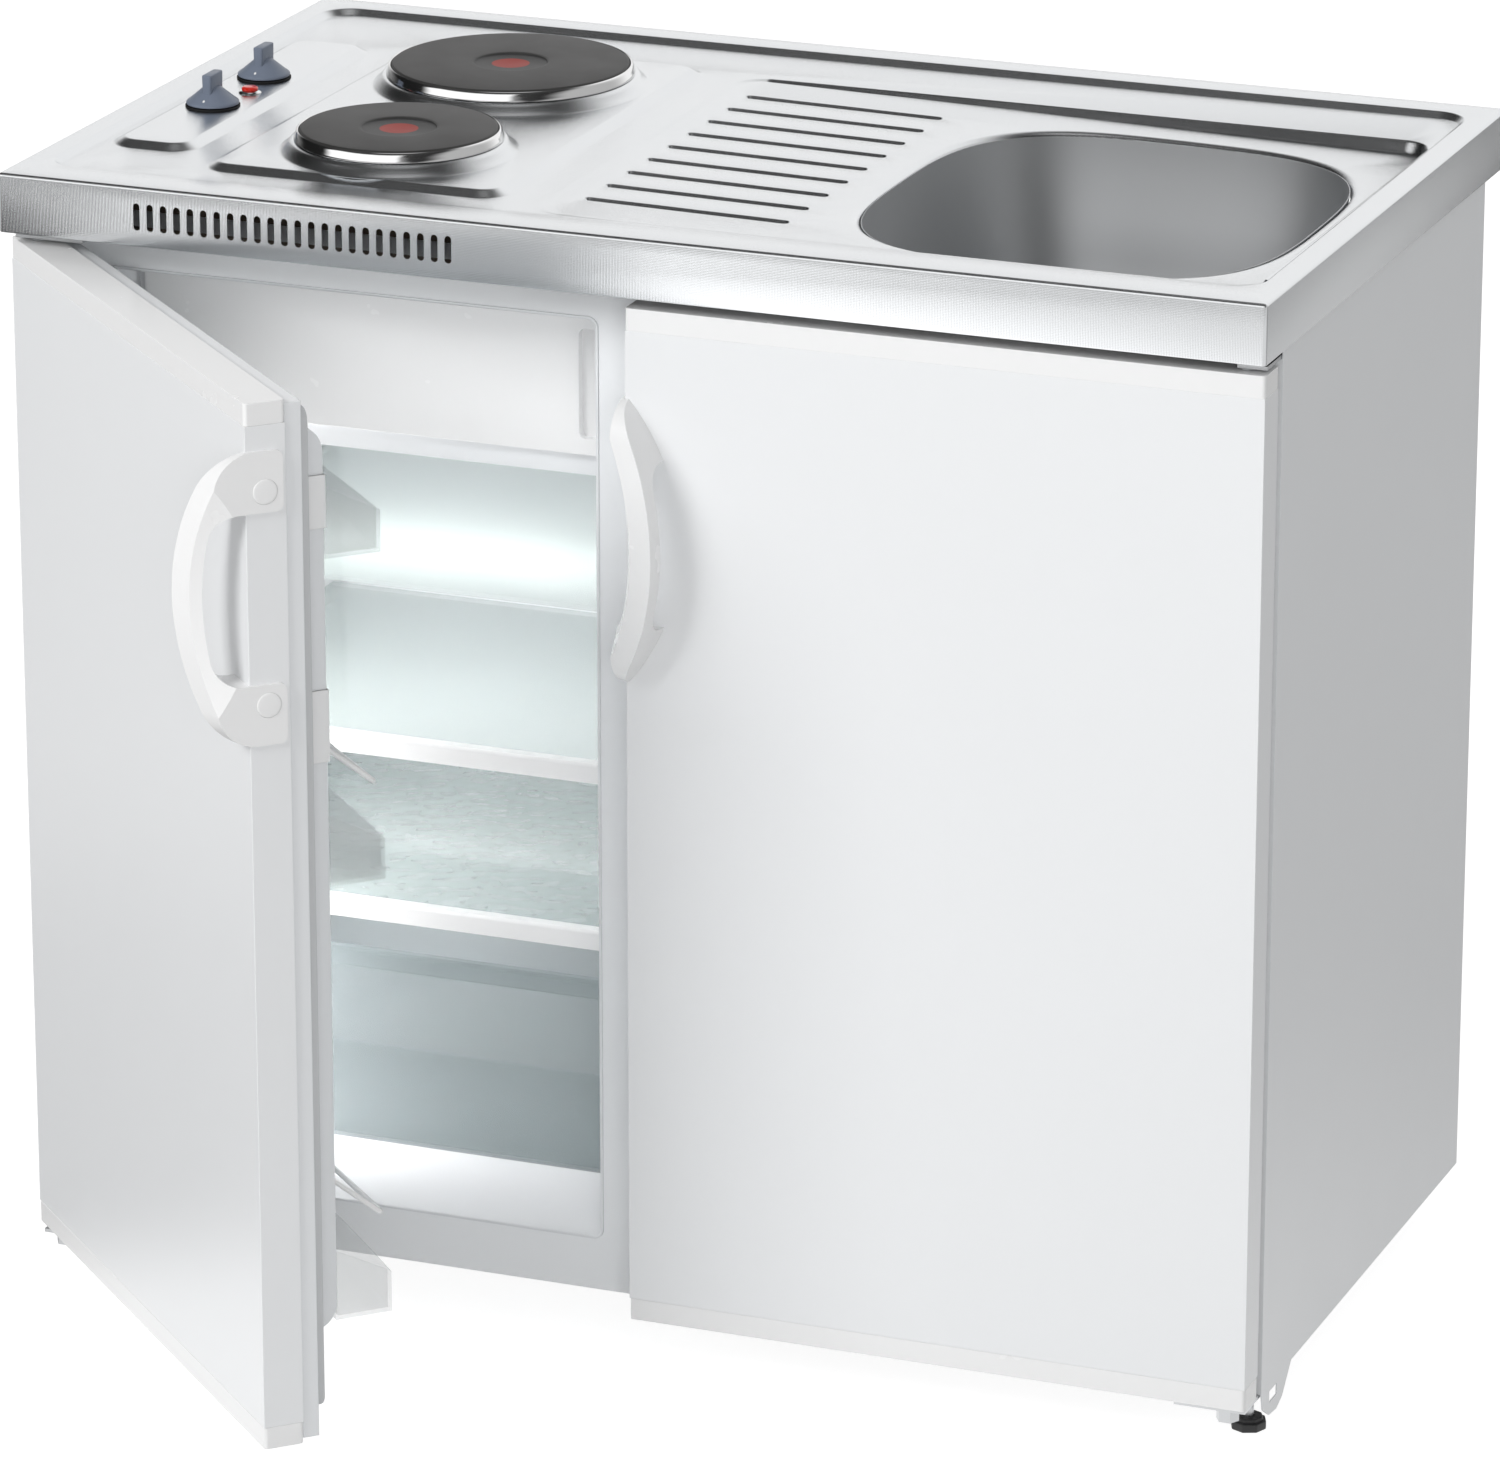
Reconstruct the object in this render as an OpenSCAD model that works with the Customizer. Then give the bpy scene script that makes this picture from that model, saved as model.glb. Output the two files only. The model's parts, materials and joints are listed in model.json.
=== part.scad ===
// Kitchenette unit: a pressed steel worktop with a sink and two hotplates, over a
// refrigerator on the left and a sink cupboard on the right.
// Frame: +X right, +Y towards the wall, +Z up. The origin is on the floor, at the
// middle of the width, in the plane of the worktop's rear edge.

/* [Unit] */
// Overall width of the worktop
unit_w = 1000; // [980:1:1060]
// Overall depth of the worktop
unit_d = 600; // [590:1:640]
// Height of the worktop's rim above the floor
unit_h = 895; // [870:1:930]

/* [Worktop] */
// Thickness of the steel sheet
sheet_t = 1; // [0.8:0.1:1.5]
// Height of the folded skirt round the worktop
fascia_h = 46; // [44:1:56]
// Width of the hem folded in under the skirt
hem_w = 12; // [8:1:16]
// Flat rim in front of the deck
rim_front = 40; // [34:1:46]
// Flat rim behind the deck
rim_back = 30; // [24:1:36]
// Flat rim at each side of the deck
rim_side = 22; // [18:1:26]
// Corner radius of the deck
rim_r = 24; // [16:1:30]
// Depth of the deck below the rim
deck_drop = 4.5; // [3:0.5:6]
// Height of the raised hob and knob panels above the deck
panel_rise = 5; // [4:0.5:8]
// Corner radius of the raised panels
panel_r = 18; // [12:1:24]
// Width of the raised hob panel
hob_w = 238; // [232:1:244]
// Depth of the raised hob panel
hob_l = 416; // [410:1:422]
// Distance of the hob panel's middle from the unit's left side
hob_side = 253; // [250:1:258]
// Distance of the hob panel's rear edge from the wall
hob_back = 102; // [96:1:110]
// Width of the raised knob panel
knob_panel_w = 62; // [58:1:66]
// Depth of the raised knob panel
knob_panel_l = 344; // [330:1:360]
// Distance of the knob panel's middle from the unit's left side
knob_panel_side = 68; // [65:1:71]
// Distance of the knob panel's rear edge from the wall
knob_panel_back = 134; // [120:1:140]
// Gap between the hob panel and the sunk drainer and sink area
wet_gap = 38; // [34:1:44]
// Gap between the sunk area and the unit's right side
wet_side = 28; // [24:1:34]
// Depth of the sunk drainer and sink area
wet_l = 432; // [426:1:440]
// Distance of the sunk area's rear edge from the wall
wet_back = 108; // [102:1:112]
// Corner radius of the sunk area
wet_r = 22; // [16:1:28]
// How far the sunk area falls from its left edge to its right edge
wet_fall = 9; // [6:0.5:12]
// Number of drainer grooves
groove_n = 9; // [7:1:9]
// Distance between drainer grooves
groove_pitch = 41; // [36:0.5:42]
// Width of each drainer groove
groove_w = 7; // [6:0.5:9]
// Gap between the sunk area's left edge and the grooves
groove_gap = 21; // [14:1:26]
// Gap between the grooves and the bowl
groove_end = 32.5; // [24:0.5:50]
// Number of air slots in the skirt
slot_n = 24; // [18:1:24]
// Distance between air slots
slot_pitch = 11; // [10:0.5:12]
// Width of an air slot
slot_w = 5.5; // [4.5:0.5:6]
// Height of an air slot
slot_h = 21; // [16:1:24]
// Distance of the first air slot from the unit's left side
slot_side = 115; // [100:1:120]

/* [Sink] */
// Width of the sink bowl at its rim
bowl_w = 329; // [310:1:334]
// Gap between the bowl and the unit's right side
bowl_side = 45.5; // [42:0.5:50]
// Gap between the bowl and the unit's front
bowl_front = 75.5; // [72:0.5:84]
// Gap between the bowl and the wall
bowl_back = 149.5; // [140:0.5:154]
// Corner radius of the bowl
bowl_r = 120; // [105:1:130]
// Depth of the bowl
bowl_h = 150; // [130:1:165]
// Radius of the waste's threaded tail
tail_r = 23.9; // [20:0.1:24]
// Length of the waste's threaded tail
tail_l = 45; // [35:1:55]

/* [Hob] */
// Diameter of the large hotplate
large_d = 180; // [176:1:184]
// Diameter of the small hotplate
small_d = 145; // [141:1:149]
// Distance of the large hotplate's middle from the wall
large_y = 209; // [207:1:211]
// Distance of the small hotplate's middle from the wall
small_y = 426; // [424:1:428]
// Width of the bright spill ring round a hotplate
ring_w = 7.5; // [6:0.5:8]
// Height of the pressed collar that carries a spill ring
collar_h = 8.5; // [7:0.5:10]
// Height of a hotplate's face above its collar
plate_rise = 9; // [8:0.5:11]
// Radius of a knob's skirt
knob_r = 20.5; // [18:0.5:22]
// Height of a knob
knob_h = 24; // [20:1:30]
// Distance of the knobs from the unit's left side
knob_side = 66; // [64:1:68]
// Distance of the front knob from the wall
knob_front_y = 358; // [352:1:364]
// Distance of the rear knob from the wall
knob_rear_y = 263; // [258:1:268]
// Distance of the pilot lamp from the wall
pilot_y = 311; // [304:1:316]
// How far right of the knobs' line the pilot lamp stands
pilot_out = 10; // [0:1:14]
// Radius of a switch spindle
spindle_r = 3; // [2.5:0.1:3.5]

/* [Refrigerator] */
// Gap between the worktop's edge and each outer side
side_set = 3; // [2:0.5:5]
// Gap between the refrigerator cabinet's right side and the unit's middle
cold_gap = 3; // [2:1:7]
// Height of the cabinet's underside above the floor
base_z = 36; // [32:1:42]
// Distance of the cabinet's back from the wall
back_gap = 45; // [40:1:55]
// Thickness of the insulated side walls
wall_t = 35; // [32:1:38]
// Thickness of the insulated top
roof_t = 27; // [24:1:30]
// Thickness of the insulated floor
floor_t = 42; // [38:1:46]
// Wall of the plastic liner
liner_t = 2; // [1.5:0.5:3]
// Depth of the machine recess at the lower back
recess_l = 160; // [155:1:175]
// Height of the machine recess
recess_h = 206; // [200:1:215]
// Distance of the shelves' front edge behind the cabinet's front
shelf_set = 87; // [85:1:95]
// Thickness of the shelf glass
glass_t = 4; // [3:0.5:5]
// Height of the upper shelf above the floor
shelf_hi_z = 553; // [545:1:560]
// Height of the middle shelf above the floor
shelf_mid_z = 424; // [415:1:435]
// Height of the shelf over the crisper above the floor
shelf_low_z = 288; // [285:1:300]
// Height of the freezer compartment's underside above the floor
freezer_z = 659; // [650:1:665]
// Thickness of the freezer flap
flap_t = 10; // [8:1:12]
// Height of the crisper drawer
crisper_h = 172; // [160:1:176]

/* [Doors] */
// Distance of the doors' faces behind the worktop's front
door_set = 10; // [8:1:14]
// Gap between the worktop's skirt and the doors
door_gap = 10; // [9:1:12]
// Gap between the two doors
door_mid_gap = 8; // [7:0.5:10]
// Height of the doors' lower edge above the floor
door_z = 38.5; // [37.5:0.5:46]
// Thickness of a door's panel
door_t = 31; // [28:1:34]
// Depth of the refrigerator door's liner frame behind its panel
strip_t = 13; // [12:1:15]
// Thickness of the magnetic seal
seal_t = 7; // [6:0.5:8]
// Width of the magnetic seal
seal_w = 12; // [10:1:14]
// Height of a door's moulded end caps
cap_h = 17; // [14:1:22]
// Distance of the hinge pins from a door's outer edge
pin_in = 18; // [16:1:20]
// Distance of the hinge pins behind a door's face
pin_back = 16; // [15:1:18]
// Radius of a hinge pin
pin_r = 4; // [3:0.5:4.5]
// Angle by which the refrigerator's door stands open
door_open = 44.5; // [0:0.5:44.5]
// Depth of the two ribs inside the refrigerator's door
rib_t = 32; // [28:1:34]
// Width of the two ribs inside the refrigerator's door
rib_w = 27; // [24:1:30]
// Depth of the door racks in front of the ribs
rack_l = 46; // [40:1:50]
// Wall of the clear door racks and of the crisper
clear_t = 2.5; // [2:0.5:3]
// Height of the upper rack above the floor
rack_hi_z = 700; // [694:1:704]
// Height of the middle rack above the floor
rack_mid_z = 450; // [444:1:456]
// Height of the lower rack above the floor
rack_low_z = 109; // [109:1:114]
// Height of a rack at the door's ribs
rack_h = 54; // [50:1:60]
// Height of a rack's front wall
rack_front_h = 27; // [22:1:34]
// Radius of the bottle wires
wire_r = 2; // [1.5:0.5:2.5]

/* [Handles] */
// Length of a handle
grip_l = 219; // [210:1:230]
// Height of the middle of the refrigerator's handle above the floor
grip_z = 694; // [680:1:700]
// Height of the middle of the cupboard's handle above the floor
cup_grip_z = 661; // [650:1:700]
// How far a handle stands out from its door
grip_out = 41.5; // [38:0.5:46]
// Clear depth behind a handle's bow
grip_gap = 29; // [26:1:32]
// Length of the hand opening in a handle
grip_gap_l = 128; // [120:1:136]
// How far a handle's bow reaches in over its door
grip_in = 40; // [38:1:46]
// Thickness of a handle's feet on the edge of its door
foot_plate_t = 2.5; // [2:0.1:2.8]

/* [Cupboard] */
// Height of the cupboard's floor above the room's floor
cup_floor_z = 62; // [58:1:70]
// Height of the cupboard's shelf above the room's floor
cup_shelf_z = 380; // [330:1:430]
// Thickness of the cupboard's shelf
cup_shelf_t = 16; // [12:1:19]
// Width of the folded flanges on the steel panels
flange_w = 24; // [20:1:30]
// Height of the opening for pipes above the cupboard's back
pipe_gap = 230; // [180:1:260]

/* [Feet] */
// Radius of a foot
foot_r = 14; // [12:1:18]
// Height of a foot's pad
foot_h = 10; // [8:1:16]
// Radius of a foot's threaded stud
stud_r = 4; // [3:0.5:5]

/* [Hidden] */
$fn = 64;
seat = 0.3; // clearance between a loose piece and its seat
run = 0.05; // radial clearance of a pin in its bore
over = 1; // how far a cutter runs past the face that it cuts

// Worktop levels
deck_z = unit_h - deck_drop;
panel_z = deck_z + panel_rise;
collar_z = panel_z + collar_h;
plate_z = collar_z + plate_rise;
skirt_z = unit_h - fascia_h;
hob_x = unit_w / 2 - hob_side;
knob_panel_x = unit_w / 2 - knob_panel_side;
knob_x = unit_w / 2 - knob_side;
pilot_x = knob_x - pilot_out;
slot_left = unit_w / 2 - slot_side;
bowl_x = unit_w / 2 - bowl_side - bowl_w / 2;
bowl_l = unit_d - bowl_front - bowl_back;
bowl_y = bowl_back + bowl_l / 2;
wet_left = hob_x - hob_w / 2 - wet_gap;
wet_w = unit_w / 2 - wet_side + wet_left;
groove_left = wet_left - groove_gap;
groove_l = bowl_x - bowl_w / 2 - groove_end + groove_left;
wet_angle = atan(wet_fall / wet_w);
wet_y = -wet_back - wet_l / 2;
hob_y = -hob_back - hob_l / 2;
knob_panel_y = -knob_panel_back - knob_panel_l / 2;
bowl_z = deck_z - bowl_h;
large_r = large_d / 2;
small_r = small_d / 2;

// Refrigerator limits
cold_x0 = -unit_w / 2 + side_set;
cold_x1 = -cold_gap;
cold_z1 = skirt_z - 8;
door_y = -unit_d + door_set;
front_y = door_y + door_t + strip_t + seal_t;
back_y = -back_gap;
in_x0 = cold_x0 + wall_t;
in_x1 = cold_x1 - wall_t;
in_z0 = base_z + floor_t;
in_z1 = cold_z1 - roof_t;
in_back = back_y - wall_t;
hump_y = back_y - recess_l - 10;
hump_z = base_z + recess_h + 20;
shelf_y = front_y + shelf_set;

// Door limits, both doors shut
door_z1 = skirt_z - door_gap;
door_w = unit_w / 2 - side_set - door_mid_gap / 2;
edge_x = door_mid_gap / 2;
outer_x = edge_x + door_w;
pin_x = outer_x - pin_in;
pin_y = door_y + pin_back;
plate_t = 3;

// Cupboard limits
cup_x0 = cold_x1 + 4;
cup_x1 = unit_w / 2 - side_set;
cup_y0 = door_y + door_t + 10;

// A box between two limits along each axis
module span(x, y, z) {
    translate([x[0], y[0], z[0]])
        cube([x[1] - x[0], y[1] - y[0], z[1] - z[0]]);
}

// A rectangle with round corners, centred
module round_rect(w, l, r) {
    square([w - 2 * r, l], center = true);
    square([w, l - 2 * r], center = true);
    for (x = [-1, 1], y = [-1, 1])
        translate([x * (w / 2 - r), y * (l / 2 - r)])
            circle(r);
}

// An upright block with round corners, centred, from z = 0 up
module round_block(w, l, r, h) {
    linear_extrude(h)
        round_rect(w, l, r);
}

// A block with round corners that tapers from its rim at z = 0 down to -h
module pan(w, l, r, h, slope) {
    rotate([90, 0, 90])
        linear_extrude(w - 2 * r, center = true)
            polygon([[-l / 2, 0], [l / 2, 0], [l / 2 - slope, -h], [-l / 2 + slope, -h]]);
    rotate([90, 0, 0])
        linear_extrude(l - 2 * r, center = true)
            polygon([[-w / 2, 0], [w / 2, 0], [w / 2 - slope, -h], [-w / 2 + slope, -h]]);
    for (x = [-1, 1], y = [-1, 1])
        translate([x * (w / 2 - r), y * (l / 2 - r), -h])
            cylinder(h = h, r1 = r - slope, r2 = r);
}

// Turns its children with the fall of the sunk area
module on_fall() {
    translate([-wet_left, 0, deck_z])
        rotate([0, wet_angle, 0])
            translate([wet_left, 0, -deck_z])
                children();
}

// One side of the pressed sheet: the upper face at drop = 0, the lower face at
// drop = sheet_t, with every form drawn in by the same amount
module pressing(drop) {
    grow = 2 * drop;
    difference() {
        union() {
            difference() {
                span([-unit_w / 2 + drop, unit_w / 2 - drop], [-unit_d + drop, -drop],
                     [skirt_z - drop, unit_h - drop]);
                translate([0, (rim_front - rim_back - unit_d) / 2, unit_h - drop])
                    pan_cut(unit_w - 2 * rim_side + grow, unit_d - rim_front - rim_back + grow,
                            rim_r + drop, deck_drop);
            }
            translate([-hob_x, hob_y, deck_z - drop])
                round_block(hob_w - grow, hob_l - grow, panel_r - drop, panel_rise);
            translate([-knob_panel_x, knob_panel_y, deck_z - drop])
                round_block(knob_panel_w - grow, knob_panel_l - grow, panel_r - drop, panel_rise);
            collar(large_r, large_y, drop);
            collar(small_r, small_y, drop);
        }
        on_fall()
            translate([-wet_left + wet_w / 2, wet_y, deck_z - drop])
                round_block(wet_w + grow, wet_l + grow, wet_r + drop, 2 * wet_fall);
        for (i = [0 : groove_n - 1])
            on_fall()
                translate([-groove_left + groove_w / 2, wet_y + (i - (groove_n - 1) / 2) * groove_pitch,
                           deck_z + groove_w / 4])
                    groove(groove_w / 2 + drop);
    }
}

// The cutter for a flat step with upright sides
module pan_cut(w, l, r, h) {
    translate([0, 0, -h])
        round_block(w, l, r, h + over);
}

// The pressed collar under a hotplate
module collar(plate_r, y, drop) {
    translate([-hob_x, -y, panel_z - drop])
        cylinder(h = collar_h, r1 = plate_r + ring_w + 8 - drop, r2 = plate_r + ring_w + 1 - drop);
}

// The cutter for a drainer groove with round ends
module groove(r) {
    run_l = groove_l - groove_w;
    rotate([0, 90, 0])
        cylinder(h = run_l, r = r);
    for (x = [0, run_l])
        translate([x, 0, 0])
            sphere(r);
}

// The openings through the worktop for the sink, hotplates, spindles and lamp
module worktop_openings() {
    on_fall()
        translate([bowl_x, -bowl_y, deck_z - 30])
            round_block(bowl_w, bowl_l, bowl_r, 60);
    for (p = [[large_r, large_y], [small_r, small_y]])
        translate([-hob_x, -p[1], skirt_z])
            cylinder(h = fascia_h + 30, r = p[0] + 1);
    for (y = [knob_front_y, knob_rear_y])
        translate([-knob_x, -y, skirt_z])
            cylinder(h = fascia_h + 5, r = spindle_r + 2);
    translate([-pilot_x, -pilot_y, skirt_z])
        cylinder(h = fascia_h + 5, r = 5.5);
    for (i = [0 : slot_n - 1])
        translate([-slot_left + i * slot_pitch, -unit_d, unit_h - fascia_h / 2])
            rotate([90, 0, 0])
                linear_extrude(3 * sheet_t, center = true)
                    round_rect(slot_w, slot_h, slot_w / 2 - 0.01);
}

// Pressed stainless steel top with its skirt, hem, raised panels and drainer
module worktop() {
    color("silver") {
        difference() {
            pressing(0);
            pressing(sheet_t);
            worktop_openings();
        }
        difference() {
            span([-unit_w / 2, unit_w / 2], [-unit_d, 0], [skirt_z, skirt_z + sheet_t]);
            span([-unit_w / 2 + hem_w, unit_w / 2 - hem_w], [-unit_d + hem_w, -hem_w],
                 [skirt_z - over, skirt_z + sheet_t + over]);
        }
    }
}

// Battens inside the skirt, one between the hob and the sink, and two bearers
// that carry them on the refrigerator
module worktop_frame() {
    batten_w = 18;
    z = [skirt_z + sheet_t, unit_h - sheet_t];
    x0 = -unit_w / 2 + sheet_t;
    x1 = unit_w / 2 - sheet_t;
    y0 = -unit_d + sheet_t;
    y1 = -sheet_t;
    mid_x = -wet_left - 3;
    color("burlywood") {
        difference() {
            span([x0, x1], [y0, y0 + batten_w], z);
            span([-slot_left - slot_pitch, -slot_left + slot_n * slot_pitch],
                 [y0 - over, y0 + batten_w + over],
                 [unit_h - fascia_h / 2 - slot_h / 2 - 2, unit_h]);
        }
        span([x0, x1], [y1 - batten_w, y1], z);
        span([x0, x0 + batten_w], [y0, y1], z);
        span([x1 - batten_w, x1], [y0, y1], z);
        span([mid_x - batten_w, mid_x], [y0, y1], [z[0], deck_z - sheet_t]);
        for (y = [front_y + 60, back_y - 70])
            span([-unit_w / 2 + hem_w + 1, mid_x], [y, y + 30], [cold_z1, z[0]]);
    }
}

// Lower edge of the bowl's walls, where its floor is welded on
bowl_seam_z = deck_z - 0.77 * bowl_h;

// Flange that hangs the bowl under the sunk area
module sink_flange() {
    lip = 9;
    color("gainsboro")
        on_fall()
            translate([bowl_x, -bowl_y, deck_z - 2 * sheet_t])
                difference() {
                    round_block(bowl_w + 2 * lip, bowl_l + 2 * lip, bowl_r + lip, sheet_t);
                    translate([0, 0, -over])
                        round_block(bowl_w + 2 * sheet_t, bowl_l + 2 * sheet_t,
                                    bowl_r + sheet_t, sheet_t + 2 * over);
                }
}

// Steep walls of the steel bowl
module sink_bowl() {
    color("gainsboro")
        difference() {
            bowl_shell();
            on_fall()
                translate([bowl_x, -bowl_y, deck_z - sheet_t])
                    round_block(unit_w, unit_d, rim_r, 60);
            span([0, unit_w], [-unit_d, 0], [0, bowl_seam_z]);
        }
}

// Floor of the steel bowl with its soft foot and the hole for the waste
module sink_floor() {
    color("gainsboro")
        difference() {
            bowl_shell();
            span([0, unit_w], [-unit_d, 0], [bowl_seam_z, unit_h]);
            translate([bowl_x, -bowl_y, bowl_z - 20])
                cylinder(h = 40, r = 30);
        }
}

// The whole pressed shell of the bowl
module bowl_shell() {
    difference() {
        bowl_form(sheet_t);
        bowl_form(0);
    }
}

// The bowl's inner face at grow = 0, its outer face at grow = sheet_t
module bowl_form(grow) {
    wall_h = 0.78 * bowl_h;
    wall_slope = 14;
    foot_slope = 32;
    translate([bowl_x, -bowl_y, deck_z])
        pan(bowl_w + 2 * grow, bowl_l + 2 * grow, bowl_r + grow, wall_h, wall_slope);
    translate([bowl_x, -bowl_y, deck_z - wall_h])
        pan(bowl_w + 2 * (grow - wall_slope), bowl_l + 2 * (grow - wall_slope),
            bowl_r + grow - wall_slope, bowl_h - wall_h + grow, foot_slope);
}

// Waste with its strainer, cup and threaded tail
module sink_waste() {
    cup_h = 34;
    color("lightgray")
        translate([bowl_x, -bowl_y, bowl_z])
            difference() {
                rotate_extrude()
                    polygon([[0, 1], [38, 1], [42, 0.3], [42, 0.1], [29.5, 0.1], [29.5, -cup_h],
                             [tail_r, -cup_h - 6], [tail_r, -cup_h - 6 - tail_l],
                             [tail_r - 2.5, -cup_h - 6 - tail_l], [tail_r - 2.5, -cup_h - 4],
                             [27, -cup_h + 2], [27, -4], [0, -2]]);
                for (a = [0 : 60 : 300])
                    rotate(a)
                        translate([15, 0, -6])
                            cylinder(h = 10, r = 4);
                translate([0, 0, -6])
                    cylinder(h = 10, r = 4);
            }
}

// Ring nut that clamps the waste up against the bowl
module waste_nut() {
    color("dimgray")
        translate([bowl_x, -bowl_y, bowl_z - sheet_t - 12 - seat])
            difference() {
                cylinder(h = 12, r = 40);
                translate([0, 0, -over])
                    cylinder(h = 12 + 2 * over, r = 29.5 + seat);
                for (a = [0 : 45 : 315])
                    rotate(a)
                        translate([42, 0, -over])
                            cylinder(h = 9, r = 5);
            }
}

// Cast iron plate with a sunk middle and a ribbed skirt
module hotplate(plate_r, y) {
    hub_r = 0.34 * plate_r;
    color([0.17, 0.17, 0.18])
        translate([-hob_x, -y, 0])
            rotate_extrude()
                polygon([[0, plate_z - 1.6], [hub_r - 3, plate_z - 1.6], [hub_r, plate_z],
                         [plate_r - 3, plate_z], [plate_r, plate_z - 3], [plate_r, collar_z - 4],
                         [plate_r - 5, collar_z - 4], [plate_r - 5, plate_z - 7],
                         [0, plate_z - 7]]);
}
module hotplate_large() hotplate(large_r, large_y);
module hotplate_small() hotplate(small_r, small_y);

// Bright rolled ring that seals a hotplate to its collar
module spill_ring(plate_r, y) {
    ring_r = plate_r + ring_w;
    color("whitesmoke")
        translate([-hob_x, -y, 0])
            rotate_extrude()
                polygon([[plate_r + seat, plate_z - 2], [plate_r + 2.5, plate_z - 1],
                         [ring_r - 1.2, plate_z - 2.6], [ring_r, plate_z - 4.5],
                         [ring_r, collar_z + seat], [ring_r - 1, collar_z + seat],
                         [ring_r - 1, plate_z - 4.5], [plate_r + 2, plate_z - 2.2],
                         [plate_r + 1.3, plate_z - 3], [plate_r + 1.3, collar_z + seat],
                         [plate_r + seat, collar_z + seat]]);
}
module spill_ring_large() spill_ring(large_r, large_y);
module spill_ring_small() spill_ring(small_r, small_y);

// Sprung straps that pull the hotplates down from below
module hotplate_clamps() {
    strap_w = 26;
    strap_z = collar_z - 32;
    reach = ring_w + 11;
    color("gray")
        for (p = [[large_r, large_y], [small_r, small_y]])
            translate([-hob_x, -p[1], 0])
                difference() {
                    union() {
                        span([-p[0] - reach, p[0] + reach], [-strap_w / 2, strap_w / 2],
                             [strap_z, strap_z + 2]);
                        for (s = [-1, 1])
                            translate([s * (p[0] + reach), 0, 0])
                                span([-1, 1], [-strap_w / 2, strap_w / 2],
                                     [strap_z, panel_z - sheet_t - seat]);
                    }
                    translate([0, 0, strap_z - over])
                        cylinder(h = 2 + 2 * over, r = stud_r + seat);
                }
}

// Threaded studs under the hotplates with their nuts
module hotplate_studs() {
    strap_z = collar_z - 32;
    color("darkgray")
        for (y = [large_y, small_y])
            translate([-hob_x, -y, 0]) {
                translate([0, 0, strap_z - 10])
                    cylinder(h = plate_z - 7 - strap_z + 10, r = stud_r);
                translate([0, 0, strap_z - 6.5])
                    cylinder(h = 6.2, r = 7.5, $fn = 6);
            }
}

// Knob: a cone with a straight grip across it and a bore for the spindle
module knob(y) {
    foot_z = panel_z + 2;
    cone_h = 0.57 * knob_h;
    color([0.42, 0.46, 0.52])
        translate([-knob_x, -y, foot_z])
            difference() {
                union() {
                    rotate_extrude()
                        polygon([[0, 0], [knob_r, 0], [knob_r, 1.5], [0.93 * knob_r, 0.2 * cone_h],
                                 [0.38 * knob_r, 0.92 * cone_h], [0.28 * knob_r, cone_h], [0, cone_h]]);
                    translate([0, 0, 1])
                        round_block(0.39 * knob_r, 1.12 * knob_r, 1.8, knob_h - 1);
                }
                translate([0, 0, -over])
                    cylinder(h = 0.6 * knob_h + over, r = spindle_r + run);
            }
}
module knob_front() knob(knob_front_y);
module knob_rear() knob(knob_rear_y);

// Switch spindle, held in its switch and carrying its knob
module spindle(y) {
    color("gainsboro")
        translate([-knob_x, -y, skirt_z + 10])
            cylinder(h = panel_z + 2 + 0.6 * knob_h - 0.5 - skirt_z - 10, r = spindle_r);
}
module spindle_front() spindle(knob_front_y);
module spindle_rear() spindle(knob_rear_y);

// Rotary switch blocks and the pilot lamp's holder under the knob panel
module hob_switches() {
    block_w = 42;
    top_z = panel_z - sheet_t;
    color("ivory")
        for (y = [knob_front_y, knob_rear_y])
            translate([-knob_x, -y, 0])
                difference() {
                    union() {
                        span([-block_w / 2, block_w / 2], [-block_w / 2, block_w / 2],
                             [skirt_z + 6, top_z - 8]);
                        translate([0, 0, top_z - 8])
                            cylinder(h = 8, r = 9);
                        for (i = [-1.5 : 1.5])
                            translate([0, i * 9, 0])
                                span([-block_w / 2 - 6, -block_w / 2], [-2, 2],
                                     [skirt_z + 14, skirt_z + 15]);
                    }
                    translate([0, 0, skirt_z + 9])
                        cylinder(h = fascia_h, r = spindle_r + run);
                }
}

// Black rubber rings that seal the knobs to the panel
module knob_seals() {
    color([0.1, 0.1, 0.1])
        for (y = [knob_front_y, knob_rear_y])
            translate([-knob_x, -y, panel_z])
                difference() {
                    cylinder(h = 1.4, r = knob_r + 0.8);
                    translate([0, 0, -over])
                        cylinder(h = 4, r = spindle_r + 1);
                }
}

// Metal ring of the pilot lamp, with its stem through the panel
module pilot_bezel() {
    color("silver")
        translate([-pilot_x, -pilot_y, panel_z])
            rotate_extrude()
                polygon([[4.2, 2.2], [7, 2.2], [9, 0.9], [9, 0.1], [5.2, 0.1], [5.2, -22], [4.2, -22]]);
}

// Flat red lens of the pilot lamp, with its stem in the ring
module pilot_lens() {
    color("red")
        translate([-pilot_x, -pilot_y, panel_z])
            rotate_extrude()
                polygon([[0, 0], [4, 0], [4, 2.4], [6.5, 2.4], [6.5, 4.6], [5.9, 5.2], [0, 5.2]]);
}

// The cabinet's outer form at inset = 0, or the space inside its skin
recess_side = 14;
module cabinet_form(inset) {
    difference() {
        span([cold_x0 + inset, cold_x1 - inset], [front_y + inset, back_y - inset],
             [base_z + inset, cold_z1 - inset]);
        span([cold_x0 + recess_side - inset, cold_x1 - recess_side + inset],
             [back_y - recess_l - inset, back_y + over],
             [base_z - over, base_z + recess_h + inset]);
    }
}

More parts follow.
